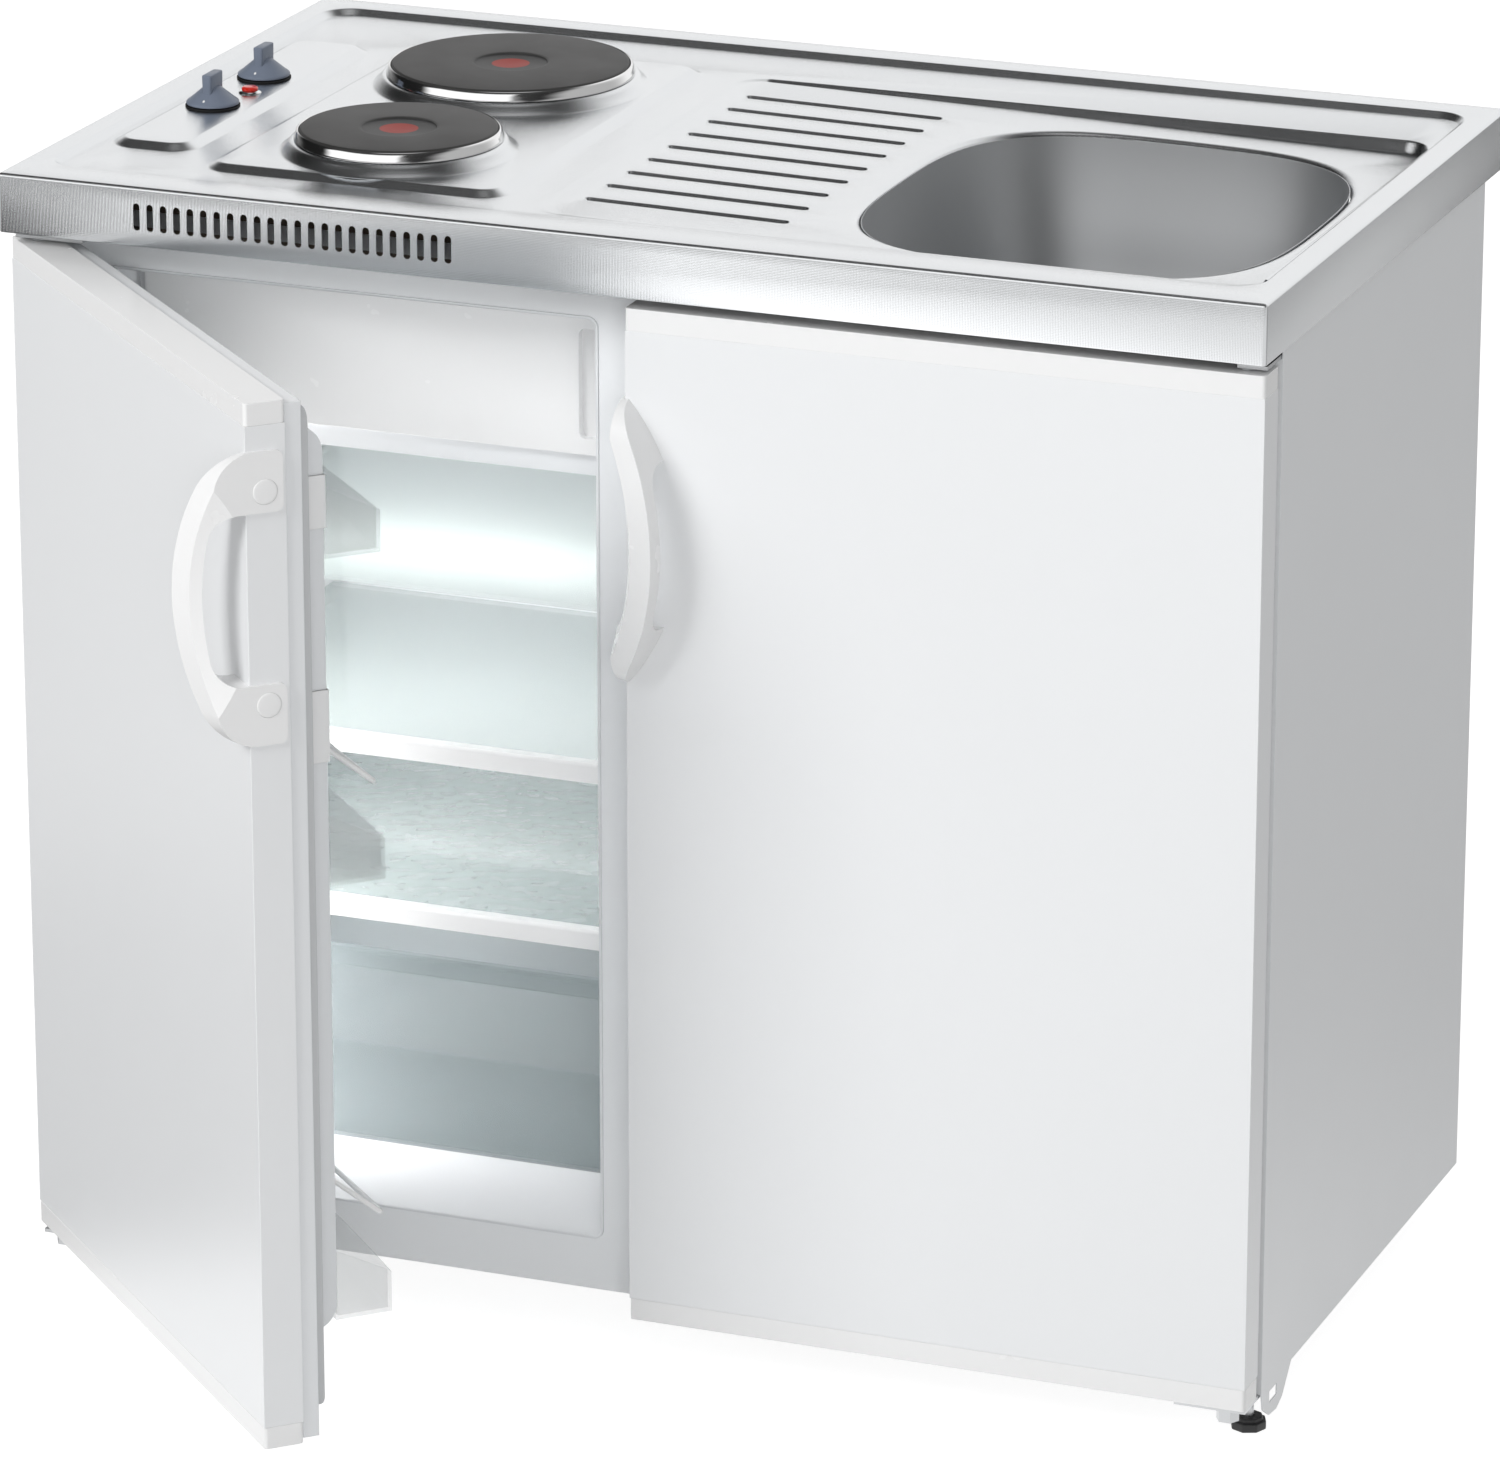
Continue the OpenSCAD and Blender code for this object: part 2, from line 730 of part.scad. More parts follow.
// The refrigerated space, drawn in by inset, with its step over the machine recess
module cold_space(inset) {
    intersection() {
        translate([in_x0 + inset, 0, 0])
            rotate([90, 0, 90])
                linear_extrude(in_x1 - in_x0 - 2 * inset)
                    polygon([[front_y - over, in_z0 + inset], [hump_y - inset, in_z0 + inset],
                             [hump_y - inset, hump_z + inset], [in_back - inset, hump_z + inset],
                             [in_back - inset, in_z1 - inset], [front_y - over, in_z1 - inset]]);
        translate([(in_x0 + in_x1) / 2, front_y - over, (in_z0 + in_z1) / 2])
            rotate([-90, 0, 0])
                round_block(in_x1 - in_x0 - 2 * inset, in_z1 - in_z0 - 2 * inset,
                            8 - inset, unit_d);
    }
}

// White steel skin with a flat frame round the door opening
module fridge_shell() {
    color("white")
        difference() {
            cabinet_form(0);
            cabinet_form(sheet_t);
            cold_space(0);
        }
}

// Rigid foam between the skin and the liner
module fridge_foam() {
    color("khaki")
        difference() {
            cabinet_form(sheet_t);
            cold_space(0);
        }
}

// White plastic liner with ledges for the shelves
module fridge_liner() {
    ledge_w = 9;
    ledge_h = 7;
    color([0.93, 0.97, 0.98]) {
        difference() {
            cold_space(0);
            cold_space(liner_t);
        }
        for (z = [shelf_hi_z, shelf_mid_z, shelf_low_z], side = [0, 1])
            mirror([side, 0, 0])
                translate([side * -(in_x0 + in_x1), 0, 0])
                    span([in_x0 + liner_t, in_x0 + liner_t + ledge_w],
                         [shelf_y + 24, in_back - liner_t], [z - ledge_h, z - seat]);
    }
}

// Aluminium freezer compartment with a plastic front frame and the flap's ears
freezer_top = in_z1 - liner_t - seat;
flap_x = in_x0 + liner_t + 12;
flap_y = shelf_y + flap_t / 2;
flap_z = [freezer_z + 19, freezer_top - 12];
module freezer_box() {
    wall = 3;
    x = [in_x0 + liner_t + seat, in_x1 - liner_t - seat];
    y = [shelf_y + flap_t + 0.6, in_back - liner_t - 20];
    color([0.85, 0.9, 0.92])
        difference() {
            intersection() {
                union() {
                    span(x, y, [freezer_z, freezer_top]);
                    for (z = [[freezer_z + 6, flap_z[0] - seat], [flap_z[1] + seat, freezer_top]])
                        span([flap_x - 6, flap_x + 6], [flap_y - 6, y[0] + over], z);
                }
                cold_space(liner_t + seat);
            }
            intersection() {
                span(x, [y[0] + 14, y[1] - wall], [freezer_z + wall, freezer_top]);
                cold_space(liner_t + seat + wall);
            }
            span([x[0] + 16, x[1] - 16], [y[0] - over, y[0] + 20],
                 [freezer_z + 17, freezer_top - 15]);
            translate([flap_x, flap_y, freezer_z + 8])
                cylinder(h = freezer_top - freezer_z - 12, r = 3 + run);
        }
}

// Freezer flap with its pivot barrel and a sunk grip
module freezer_flap() {
    x1 = in_x1 - liner_t - 14;
    grip_w = 26;
    color("white")
        difference() {
            union() {
                translate([flap_x, flap_y, flap_z[0]])
                    cylinder(h = flap_z[1] - flap_z[0], r = flap_t / 2);
                span([flap_x, x1], [flap_y - flap_t / 2, flap_y + flap_t / 2], flap_z);
                translate([flap_x, flap_y, flap_z[0] - 9])
                    cylinder(h = flap_z[1] - flap_z[0] + 16, r = 3);
            }
            translate([x1 - 10 - grip_w, flap_y - flap_t / 2 - over, flap_z[0] + 13])
                rotate([-90, 0, 0])
                    mirror([0, 1, 0])
                        linear_extrude(flap_t * 0.7 + over)
                            translate([grip_w / 2, 43])
                                round_rect(grip_w, 86, 5);
        }
}

// A glass shelf at a height
module glass_shelf(z) {
    span([in_x0 + liner_t + seat, in_x1 - liner_t - seat],
         [shelf_y + 4, in_back - liner_t - 10], [z, z + glass_t]);
}

// Upper and middle glass shelves
module fridge_shelves() {
    color([0.8, 0.93, 0.9, 0.5]) {
        glass_shelf(shelf_hi_z);
        glass_shelf(shelf_mid_z);
    }
}

// Patterned glass shelf that covers the crisper
module crisper_shelf() {
    color([0.8, 0.93, 0.88, 0.6])
        glass_shelf(shelf_low_z);
}

// White front mouldings that grip the lower two shelves' glass
module shelf_trims() {
    color("white")
        for (p = [[shelf_mid_z, 9], [shelf_low_z, 9]])
            difference() {
                translate([in_x0 + liner_t + seat, 0, 0])
                    rotate([90, 0, 90])
                        linear_extrude(in_x1 - in_x0 - 2 * liner_t - 2 * seat)
                            polygon([[shelf_y, p[0] - p[1]], [shelf_y, p[0] + glass_t + 1],
                                     [shelf_y + 2, p[0] + glass_t + 3],
                                     [shelf_y + 14, p[0] + glass_t + 2],
                                     [shelf_y + 18, p[0] - 3], [shelf_y + 6, p[0] - p[1]]]);
                glass_shelf(p[0]);
            }
}

// Clear crisper drawer with a sloping front and a pull rim
module crisper() {
    x = [in_x0 + liner_t + 14, in_x1 - liner_t - 14];
    z0 = in_z0 + liner_t + seat;
    z1 = z0 + crisper_h;
    y0 = shelf_y + 10;
    y1 = hump_y - liner_t - 8;
    lean = 24;
    color([0.75, 0.88, 0.88, 0.5]) {
        difference() {
            translate([x[0], 0, 0])
                rotate([90, 0, 90])
                    linear_extrude(x[1] - x[0])
                        polygon([[y0 + lean, z0], [y1, z0], [y1, z1], [y0, z1]]);
            translate([x[0] + clear_t, 0, 0])
                rotate([90, 0, 90])
                    linear_extrude(x[1] - x[0] - 2 * clear_t)
                        polygon([[y0 + lean + clear_t, z0 + clear_t], [y1 - clear_t, z0 + clear_t],
                                 [y1 - clear_t, z1 + over], [y0 + clear_t, z1 + over]]);
        }
        span([x[0] - 6, x[0]], [y0, y1], [z1 - 3, z1]);
        span([x[1], x[1] + 6], [y0, y1], [z1 - 3, z1]);
        span([x[0] - 6, x[1] + 6], [y0 - 8, y0 + 0.2], [z1 - 3, z1]);
        span([x[0] - 6, x[1] + 6], [y0 - 8, y0 - 5.5], [z1 - 14, z1 - 3]);
    }
}

// Housing of the thermostat and the inside lamp on the right wall
dial_r = 14;
dial_y = shelf_y + 96;
dial_z = shelf_hi_z + 60;
housing_x = in_x1 - liner_t - seat - 26;
module thermostat_housing() {
    color("white")
        difference() {
            span([housing_x, housing_x + 26], [dial_y - 44, dial_y + 106],
                 [dial_z - 26, dial_z + 24]);
            span([housing_x + 2.5, housing_x + 24], [dial_y + 24, dial_y + 103],
                 [dial_z - 23, dial_z + 21]);
            translate([housing_x - over, dial_y, dial_z])
                rotate([0, 90, 0])
                    cylinder(h = 12 + over, r = dial_r + 0.5);
            translate([housing_x, dial_y, dial_z])
                rotate([0, 90, 0])
                    cylinder(h = 22, r = 3 + run);
            for (i = [0 : 6])
                span([housing_x - over, housing_x + 3],
                     [dial_y + 30 + i * 10, dial_y + 35 + i * 10], [dial_z - 18, dial_z + 16]);
        }
}

// Thermostat dial with a pointer ridge and a stem
module thermostat_dial() {
    color("lightgray")
        translate([housing_x + 11, dial_y, dial_z])
            rotate([0, -90, 0]) {
                cylinder(h = 16, r = dial_r);
                translate([0, 0, -9])
                    cylinder(h = 9, r = 3);
                span([-dial_r + 2, dial_r - 2], [-2, 2], [16, 19]);
            }
}

// Sealed compressor on its plate and rubber grommets
pot_r = 64;
pot_x = (cold_x0 + cold_x1) / 2 - 70;
pot_y = back_y - recess_l / 2;
pot_z = base_z + 14;
pot_h = 140;
module compressor() {
    color([0.12, 0.12, 0.13])
        translate([pot_x, pot_y, pot_z]) {
            rotate_extrude()
                polygon([[0, 0], [pot_r - 14, 0], [pot_r - 3, 8], [pot_r - 1, 20], [pot_r - 1, pot_h / 2 - 3],
                         [pot_r + 2, pot_h / 2 - 3], [pot_r + 2, pot_h / 2 + 3],
                         [pot_r - 1, pot_h / 2 + 3], [pot_r - 1, pot_h - 30],
                         [pot_r - 8, pot_h - 12], [pot_r - 26, pot_h - 2], [0, pot_h]]);
            difference() {
                span([-pot_r - 20, pot_r + 20], [-50, 50], [-2, 0]);
                for (x = [-1, 1], y = [-1, 1])
                    translate([x * (pot_r + 8), y * 38, -3])
                        cylinder(h = 4, r = 4);
            }
            for (x = [-1, 1], y = [-1, 1])
                translate([x * (pot_r + 8), y * 38, 2 - pot_z + base_z])
                    cylinder(h = pot_z - base_z - 4, r = 9);
            translate([0, pot_r - 4, pot_h / 2 + 14])
                rotate([-90, 0, 0])
                    cylinder(h = 12, r = 4);
        }
}

// Steel plate that closes the machine recess below
module machine_tray() {
    color("lightgray")
        span([cold_x0 + recess_side + seat, cold_x1 - recess_side - seat],
             [back_y - recess_l + seat, back_y], [base_z, base_z + 2]);
}

// Tray over the compressor in which the thaw water dries
module drip_tray() {
    z = pot_z + pot_h;
    color("white")
        difference() {
            span([pot_x - 74, pot_x + 74], [pot_y - 56, pot_y + 56], [z + seat, z + 24]);
            span([pot_x - 72, pot_x + 72], [pot_y - 54, pot_y + 54], [z + 2.3, z + 30]);
        }
}

// Bent tube of the condenser with its wires and brackets
tube_r = 2.5;
tube_y = back_y + 12;
tube_z = base_z + recess_h + 40;
module condenser() {
    runs = 9;
    pitch = 58;
    bend_r = pitch / 2;
    y = tube_y;
    x0 = cold_x0 + 60;
    x1 = cold_x1 - 60;
    z0 = tube_z;
    color([0.08, 0.08, 0.08]) {
        for (i = [0 : runs - 1])
            translate([x0, y, z0 + i * pitch])
                rotate([0, 90, 0])
                    cylinder(h = x1 - x0, r = tube_r);
        for (i = [0 : runs - 2])
            translate([i % 2 == 0 ? x1 : x0, y, z0 + (i + 0.5) * pitch])
                rotate([90, i % 2 == 0 ? 0 : 180, 0])
                    rotate(-90)
                        rotate_extrude(angle = 180)
                            translate([bend_r, 0])
                                circle(tube_r);
        for (i = [0 : 15])
            translate([x0 + 15 + i * (x1 - x0 - 30) / 15, y + tube_r - 0.4, z0 - 10])
                cube([1.6, 1.4, (runs - 1) * pitch + 20]);
        for (x = [x0 + 30, x1 - 40], z = [z0 + pitch, z0 + (runs - 2) * pitch])
            span([x, x + 12], [back_y + seat, y - tube_r + 0.4], [z - 6, z + 6]);
    }
}

// Pipe from the compressor up to the condenser's lowest run
module condenser_feed() {
    feed_z = pot_z + pot_h / 2 + 14;
    color([0.08, 0.08, 0.08])
        translate([pot_x, tube_y, feed_z]) {
            cylinder(h = tube_z - tube_r - feed_z - seat, r = tube_r);
            sphere(tube_r);
            rotate([90, 0, 0])
                cylinder(h = tube_y - pot_y - pot_r - 8 - seat, r = tube_r);
        }
}

// Bushed hole through which the supply lead enters the refrigerator's back
gland_x = cold_x1 - 40;
gland_z = base_z + recess_h + 24;
gland_l = 14;
module cable_gland() {
    color("black")
        translate([gland_x, back_y + seat, gland_z])
            rotate([-90, 0, 0])
                difference() {
                    union() {
                        cylinder(h = 3, r = 13);
                        cylinder(h = gland_l, r = 9);
                    }
                    translate([0, 0, -over])
                        cylinder(h = gland_l + 2 * over, r = 3.6);
                }
}

// Places a piece drawn on the right-hand door onto the open left-hand door
module on_cold_door() {
    translate([-pin_x, pin_y, 0])
        rotate(-door_open)
            translate([pin_x, -pin_y, 0])
                mirror([1, 0, 0])
                    children();
}

// Folded steel face of a door, drawn for the right-hand door
module door_skin() {
    z = [door_z + cap_h, door_z1 - cap_h];
    difference() {
        span([edge_x, outer_x], [door_y, door_y + door_t], z);
        span([edge_x + sheet_t, outer_x - sheet_t], [door_y + sheet_t, door_y + door_t - sheet_t],
             [z[0] - over, z[1] + over]);
        span([edge_x + 12, outer_x - 12], [door_y + door_t / 2, door_y + door_t + over],
             [z[0] - over, z[1] + over]);
    }
}

// Moulded caps at a door's top and bottom, with bores for the hinge pins
module door_caps() {
    bore_l = cap_h - 2;
    difference() {
        for (z = [door_z, door_z1 - cap_h])
            translate([(edge_x + outer_x) / 2, door_y + door_t / 2, z])
                round_block(door_w, door_t, 3, cap_h);
        translate([pin_x, pin_y, door_z - over])
            cylinder(h = bore_l + over, r = pin_r + run);
        translate([pin_x, pin_y, door_z1 - bore_l])
            cylinder(h = bore_l + over, r = pin_r + run);
    }
}

module fridge_door_panel() color("white") on_cold_door() door_skin();
module fridge_door_caps() color("whitesmoke") on_cold_door() door_caps();

// Limits of the part of the door that reaches into the cabinet
plug_x0 = -in_x1 + liner_t + 8;
plug_x1 = -in_x0 - liner_t - 8;
plug_z = [in_z0 + liner_t + 26, in_z1 - liner_t - 9];
strip_y = door_y + door_t + strip_t;
rib_y = strip_y + rib_t;

// The outside of the door's liner at inset = 0, or the space inside its wall
module door_liner_form(inset) {
    rib_r = 20;
    root_y = strip_y - strip_t / 2;
    span([edge_x + 2 + inset, outer_x - 2 - inset], [door_y + door_t - inset, strip_y - inset],
         [door_z + 3 + inset, door_z1 - 3 - inset]);
    for (x = [plug_x0, plug_x1 - rib_w])
        intersection() {
            translate([x + inset, 0, 0])
                rotate([90, 0, 90])
                    linear_extrude(rib_w - 2 * inset)
                        translate([rib_y - inset - rib_t, (plug_z[0] + plug_z[1]) / 2])
                            round_rect(2 * rib_t, plug_z[1] - plug_z[0] - 2 * inset,
                                       rib_r - inset);
            span([0, unit_w], [root_y, 0], [0, unit_h]);
        }
    for (z = [plug_z[0], plug_z[1] - rib_w])
        span([plug_x0 + rib_w / 2, plug_x1 - rib_w / 2], [root_y, rib_y - rib_r - 1 - inset],
             [z + inset, z + rib_w - inset]);
}

// Moulded inside of the refrigerator's door, with a rib along each side
module fridge_door_liner() {
    color([0.93, 0.95, 0.97])
        on_cold_door()
            difference() {
                door_liner_form(0);
                door_liner_form(liner_t);
            }
}

// Rigid foam that fills the refrigerator's door
module fridge_door_foam() {
    color("khaki")
        on_cold_door() {
            span([edge_x + sheet_t, outer_x - sheet_t], [door_y + sheet_t, door_y + door_t - sheet_t],
                 [door_z + cap_h, door_z1 - cap_h]);
            span([edge_x + 12, outer_x - 12], [door_y + sheet_t, strip_y - liner_t],
                 [door_z + cap_h, door_z1 - cap_h]);
            intersection() {
                door_liner_form(liner_t);
                span([0, unit_w], [door_y + door_t, 0], [0, unit_h]);
            }
        }
}

// Magnetic seal round the refrigerator's door
module fridge_door_seal() {
    x = [edge_x + 6, pin_x - 1];
    z = [in_z0 - 17, in_z1 + 14];
    w = x[1] - x[0];
    h = z[1] - z[0];
    color("lightgray")
        on_cold_door()
            translate([(x[0] + x[1]) / 2, strip_y, (z[0] + z[1]) / 2])
                rotate([-90, 0, 0])
                    difference() {
                        round_block(w, h, 10, seal_t - seat);
                        translate([0, 0, -over])
                            round_block(w - 2 * seal_w, h - 2 * seal_w, 3, seal_t + 2 * over);
                    }
}

// Points of an arc about a middle
function arc(middle, r, from, to, n) =
    [for (i = [0 : n]) let (a = from + (to - from) * i / n)
        [middle[0] + r * cos(a), middle[1] + r * sin(a)]];

// Side view of a bow from its door outwards: a flat arc between rounded ends
module bow_form(half, rise, sag, r) {
    arc_r = (half * half + sag * sag) / (2 * sag);
    mid = rise - arc_r;
    corner = mid + sqrt(pow(arc_r - r, 2) - pow(half - r, 2));
    turn = atan2(half - r, corner - mid);
    step = turn / 8;
    polygon(concat([[-rise, -half]],
                   arc([corner, r - half], r, -90, -turn, 8),
                   arc([mid, 0], arc_r, step - turn, turn - step, 14),
                   arc([corner, half - r], r, turn, 90, 8),
                   [[-rise, half]]));
}

// Bow handle on a door's free edge, drawn for the right-hand door. Its front leans
// back to the door's edge, and it is hollowed from the side and from the front.
module handle(z) {
    half = grip_l / 2;
    x0 = edge_x - foot_plate_t;
    front_r = (half * half + grip_in * grip_in) / (2 * grip_in);
    hole_r = 2.5 * half;
    translate([0, 0, z]) {
        difference() {
            intersection() {
                translate([x0 + grip_in, door_y, 0])
                    rotate([0, 0, -17.5])
                        mirror([0, 1, 0])
                            rotate([90, 0, 90])
                                linear_extrude(4 * grip_in, center = true)
                                    bow_form(half, grip_out, 10, 30);
                translate([x0 + grip_in, door_y - grip_out, 0])
                    rotate([0, 0, -8])
                        translate([-front_r, 0, 0])
                            rotate([90, 0, 0])
                                cylinder(h = 4 * grip_out, r = front_r, center = true, $fn = 128);
                span([x0, unit_w], [-unit_d - grip_out, door_y], [-half, half]);
            }
            translate([edge_x, door_y, 0])
                mirror([0, 1, 0])
                    rotate([90, 0, 90])
                        linear_extrude(4 * grip_in, center = true)
                            bow_form(grip_gap_l / 2, grip_gap, 6, 20);
            translate([x0 + 0.53 * grip_in, door_y - grip_out + 3, 0])
                rotate([0, 0, 25])
                    translate([-hole_r, 0, 0])
                        rotate([90, 0, 0])
                            cylinder(h = 3 * grip_out, r = hole_r, center = true, $fn = 128);
        }
        for (s = [-1, 1])
            difference() {
                translate([x0, door_y + 11.5, s * (half + grip_gap_l / 2) / 2])
                    rotate([90, 0, 90])
                        linear_extrude(foot_plate_t)
                            round_rect(33, half - grip_gap_l / 2, 6);
                translate([x0 - over, door_y + 14, s * (half - 30)])
                    rotate([0, 90, 0])
                        cylinder(h = over + handle_cap_sink, r = handle_cap_r + run);
            }
    }
}

// Domed caps, let into the handle's feet over its screws
handle_cap_r = 9.5;
handle_cap_sink = 1.2;
module handle_caps(z) {
    r = handle_cap_r;
    for (s = [-1, 1])
        translate([edge_x - foot_plate_t + handle_cap_sink, door_y + 14,
                   z + s * (grip_l / 2 - 30)])
            rotate([0, -90, 0])
                rotate_extrude()
                    polygon([[0, 0], [r, 0], [r, handle_cap_sink + 0.3],
                             [0.8 * r, handle_cap_sink + 0.8], [0, handle_cap_sink + 1]]);
}

module fridge_handle() color("white") on_cold_door() handle(grip_z);
module fridge_handle_caps() color("white") on_cold_door() handle_caps(grip_z);

// One clear rack on the door's ribs, with a bowed front
module door_rack(z) {
    bow = 9;
    x0 = plug_x0 + 7;
    x1 = plug_x1 - 7;
    mid_x = (x0 + x1) / 2;
    half_w = (x1 - x0) / 2;
    bow_r = (half_w * half_w + bow * bow) / (2 * bow);
    y0 = rib_y + 1.5;
    y1 = rib_y + rack_l;
    difference() {
        intersection() {
            translate([x0, 0, z])
                rotate([90, 0, 90])
                    linear_extrude(2 * half_w)
                        polygon([[y0, 0], [y1 + bow, 0], [y1 + bow, rack_front_h],
                                 [y0 + 2, rack_h], [y0, rack_h]]);
            translate([mid_x, y1 + bow - bow_r, z - over])
                cylinder(h = rack_h + 2 * over, r = bow_r, $fn = 256);
        }
        intersection() {
            span([x0 + clear_t, x1 - clear_t], [y0 + clear_t, y1 + bow],
                 [z + clear_t, z + rack_h + over]);
            translate([mid_x, y1 + bow - bow_r, z])
                cylinder(h = rack_h + 2 * over, r = bow_r - clear_t, $fn = 256);
        }
    }
    for (x = [x0 + 4, x1 - 12])
        span([x, x + 8], [rib_y + seat, y0 + 0.2], [z + 4, z + 14]);
}

// Three clear racks inside the refrigerator's door
module door_racks() {
    color([0.85, 0.87, 0.88, 0.5])
        on_cold_door()
            for (z = [rack_hi_z, rack_mid_z, rack_low_z])
                door_rack(z);
}

// White clips round the ribs and sockets for the bottle wires
wire_z = [rack_mid_z + 105, rack_low_z + 109];
clip_t = 1.2;
module rack_brackets() {
    color("white")
        on_cold_door() {
            for (x = [plug_x0, plug_x1 - rib_w], z = [[rack_hi_z + 26, rack_hi_z + 66],
                                                       [wire_z[0] - 6, wire_z[0] + 49]])
                difference() {
                    span([x - clip_t - seat, x + rib_w + clip_t + seat],
                         [strip_y + seat, rib_y + clip_t], z);
                    span([x - seat, x + rib_w + seat], [strip_y, rib_y + seat],
                         [z[0] - over, z[1] + over]);
                }
            for (x = [plug_x0 + 13, plug_x1 - 13])
                translate([x, rib_y + seat, wire_z[1]])
                    rotate([-90, 0, 0])
                        cylinder(h = clip_t, r = 6);
        }
}

// White wire loops that steady the bottles
module bottle_wires() {
    reach = 52;
    bend = 10;
    half_w = (plug_x1 - plug_x0) / 2 - 13;
    color("white")
        on_cold_door()
            for (z = wire_z)
                translate([(plug_x0 + plug_x1) / 2, rib_y + clip_t + 2 * seat + 0.65 * wire_r, z])
                    rotate([-40, 0, 0]) {
                        for (side = [0, 1])
                            mirror([side, 0, 0]) {
                                translate([half_w, 0, 0])
                                    rotate([-90, 0, 0])
                                        cylinder(h = reach - bend, r = wire_r);
                                translate([half_w - bend, reach - bend, 0])
                                    rotate_extrude(angle = 90)
                                        translate([bend, 0])
                                            circle(wire_r);
                            }
                        translate([bend - half_w, reach, 0])
                            rotate([0, 90, 0])
                                cylinder(h = 2 * (half_w - bend), r = wire_r);
                    }
}

// Hinge plates and pins on the refrigerator's cabinet
module fridge_hinges() {
    color("silver")
        mirror([1, 0, 0]) {
            hinge_pins();
            for (z = [cold_z1, base_z - plate_t])
                span([outer_x - 58, outer_x - 2], [pin_y - 8, front_y + 36], [z, z + plate_t]);
        }
}

// The two pins of a door with their thrust washers and the bolt's head below, drawn
// for the right-hand door
module hinge_pins() {
    pin_l = cap_h - 3;
    translate([pin_x, pin_y, base_z])
        cylinder(h = door_z - base_z + pin_l, r = pin_r);
    translate([pin_x, pin_y, base_z])
        cylinder(h = door_z - base_z - seat, r = pin_r + 3);
    translate([pin_x, pin_y, base_z - plate_t - 9])
        cylinder(h = 9, r = 9, $fn = 6);
    translate([pin_x, pin_y, door_z1 - pin_l])
        cylinder(h = cold_z1 - door_z1 + pin_l, r = pin_r);
    translate([pin_x, pin_y, door_z1 + seat])
        cylinder(h = cold_z1 - door_z1 - seat, r = pin_r + 3);
}

// Hinge plates and pins on the cupboard's side panel
module cupboard_hinges() {
    leg = 26;
    x1 = cup_x1 - sheet_t - seat;
    color("silver") {
        hinge_pins();
        span([cup_x1 - flange_w, x1], [pin_y - 8, cup_y0 + 36], [cold_z1, cold_z1 + plate_t]);
        span([x1 - plate_t, x1], [cup_y0 + 4, cup_y0 + 36], [cold_z1 - leg, cold_z1]);
        span([outer_x - 58, outer_x - 2], [pin_y - 8, cup_y0 + 36], [base_z - plate_t, base_z]);
    }
}

// Folded steel side of the cupboard, drawn for the right side
module steel_side(x) {
    y = [cup_y0, back_y];
    z = [base_z, skirt_z - seat];
    span([x - sheet_t, x], y, z);
    span([x - flange_w, x], [y[0], y[0] + sheet_t], [z[0], cold_z1 - seat]);
    span([x - flange_w, x], [y[1] - sheet_t, y[1]], z);
    span([x - 3 * flange_w, x], y, [z[0], z[0] + sheet_t]);
    for (yy = [y[0] + 90, y[1] - 90])
        span([x - sheet_t - 10, x], [yy - 8, yy + 8], [cup_shelf_z - 3, cup_shelf_z - seat]);
}

// Right side of the cupboard, with a slotted tab beside its front foot
module cupboard_side() {
    color("white") {
        steel_side(cup_x1);
        translate([cup_x1 - sheet_t, cup_y0, base_z])
            rotate([90, 0, 90])
                linear_extrude(sheet_t)
                    difference() {
                        polygon([[0, over], [4, -14], [20, -24], [38, -26], [52, -21], [74, over]]);
                        translate([20, -14])
                            square([18, 9]);
                    }
    }
}

module cupboard_divider() {
    color("white")
        translate([cup_x0 + cup_x1, 0, 0])
            mirror([1, 0, 0])
                steel_side(cup_x1);
}

// Steel floor tray standing on the side panels' lower flanges
module cupboard_floor() {
    gap = sheet_t + seat;
    x = [cup_x0 + gap, cup_x1 - gap];
    y = [cup_y0 + gap + sheet_t + seat, back_y - gap];
    color("white") {
        span(x, y, [cup_floor_z, cup_floor_z + sheet_t]);
        for (x0 = [x[0], x[1] - sheet_t])
            span([x0, x0 + sheet_t], y, [base_z + gap, cup_floor_z + sheet_t]);
    }
}

// Thin back of the cupboard, open above for the pipes
module cupboard_back() {
    gap = sheet_t + seat;
    color("white")
        span([cup_x0 + gap, cup_x1 - gap], [back_y - gap - sheet_t, back_y - gap],
             [cup_floor_z + gap, skirt_z - pipe_gap]);
}

// Steel rails across the cupboard's front, above and below
module cupboard_rail() {
    gap = sheet_t + seat;
    y = [cup_y0 + gap, cup_y0 + gap + sheet_t];
    color("white")
        for (z = [[base_z + gap, cup_floor_z - seat], [skirt_z - 34, cold_z1 - seat]])
            span([cup_x0 + gap, cup_x1 - gap], y, z);
}

// Coated board shelf resting on the side panels' tabs
module cupboard_shelf() {
    color("white")
        span([cup_x0 + sheet_t + 1, cup_x1 - sheet_t - 1], [cup_y0 + 50, back_y - 30],
             [cup_shelf_z, cup_shelf_z + cup_shelf_t]);
}

module cupboard_door_panel() color("white") door_skin();
module cupboard_door_caps() color("whitesmoke") door_caps();
module cupboard_handle() color("white") handle(cup_grip_z);
module cupboard_handle_caps() color("white") handle_caps(cup_grip_z);

// Flat inner sheet of the cupboard's door
module cupboard_door_back() {
    color("white")
        span([edge_x + 2, outer_x - 2], [door_y + door_t, door_y + door_t + sheet_t],
             [door_z + 3, door_z1 - 3]);
}

// Where the feet stand: x, y and the height of the face above the stud
foot_x = outer_x - 16;
foot_spots = [[-foot_x, cup_y0 + 20, base_z - plate_t], [foot_x, cup_y0 + 20, base_z - plate_t],
              [cold_x1 - 22, front_y + 74, base_z], [cold_x1 - 22, back_y - 35, base_z],
              [-foot_x + 30, back_y - 35, base_z], [foot_x - 40, back_y - 35, base_z]];

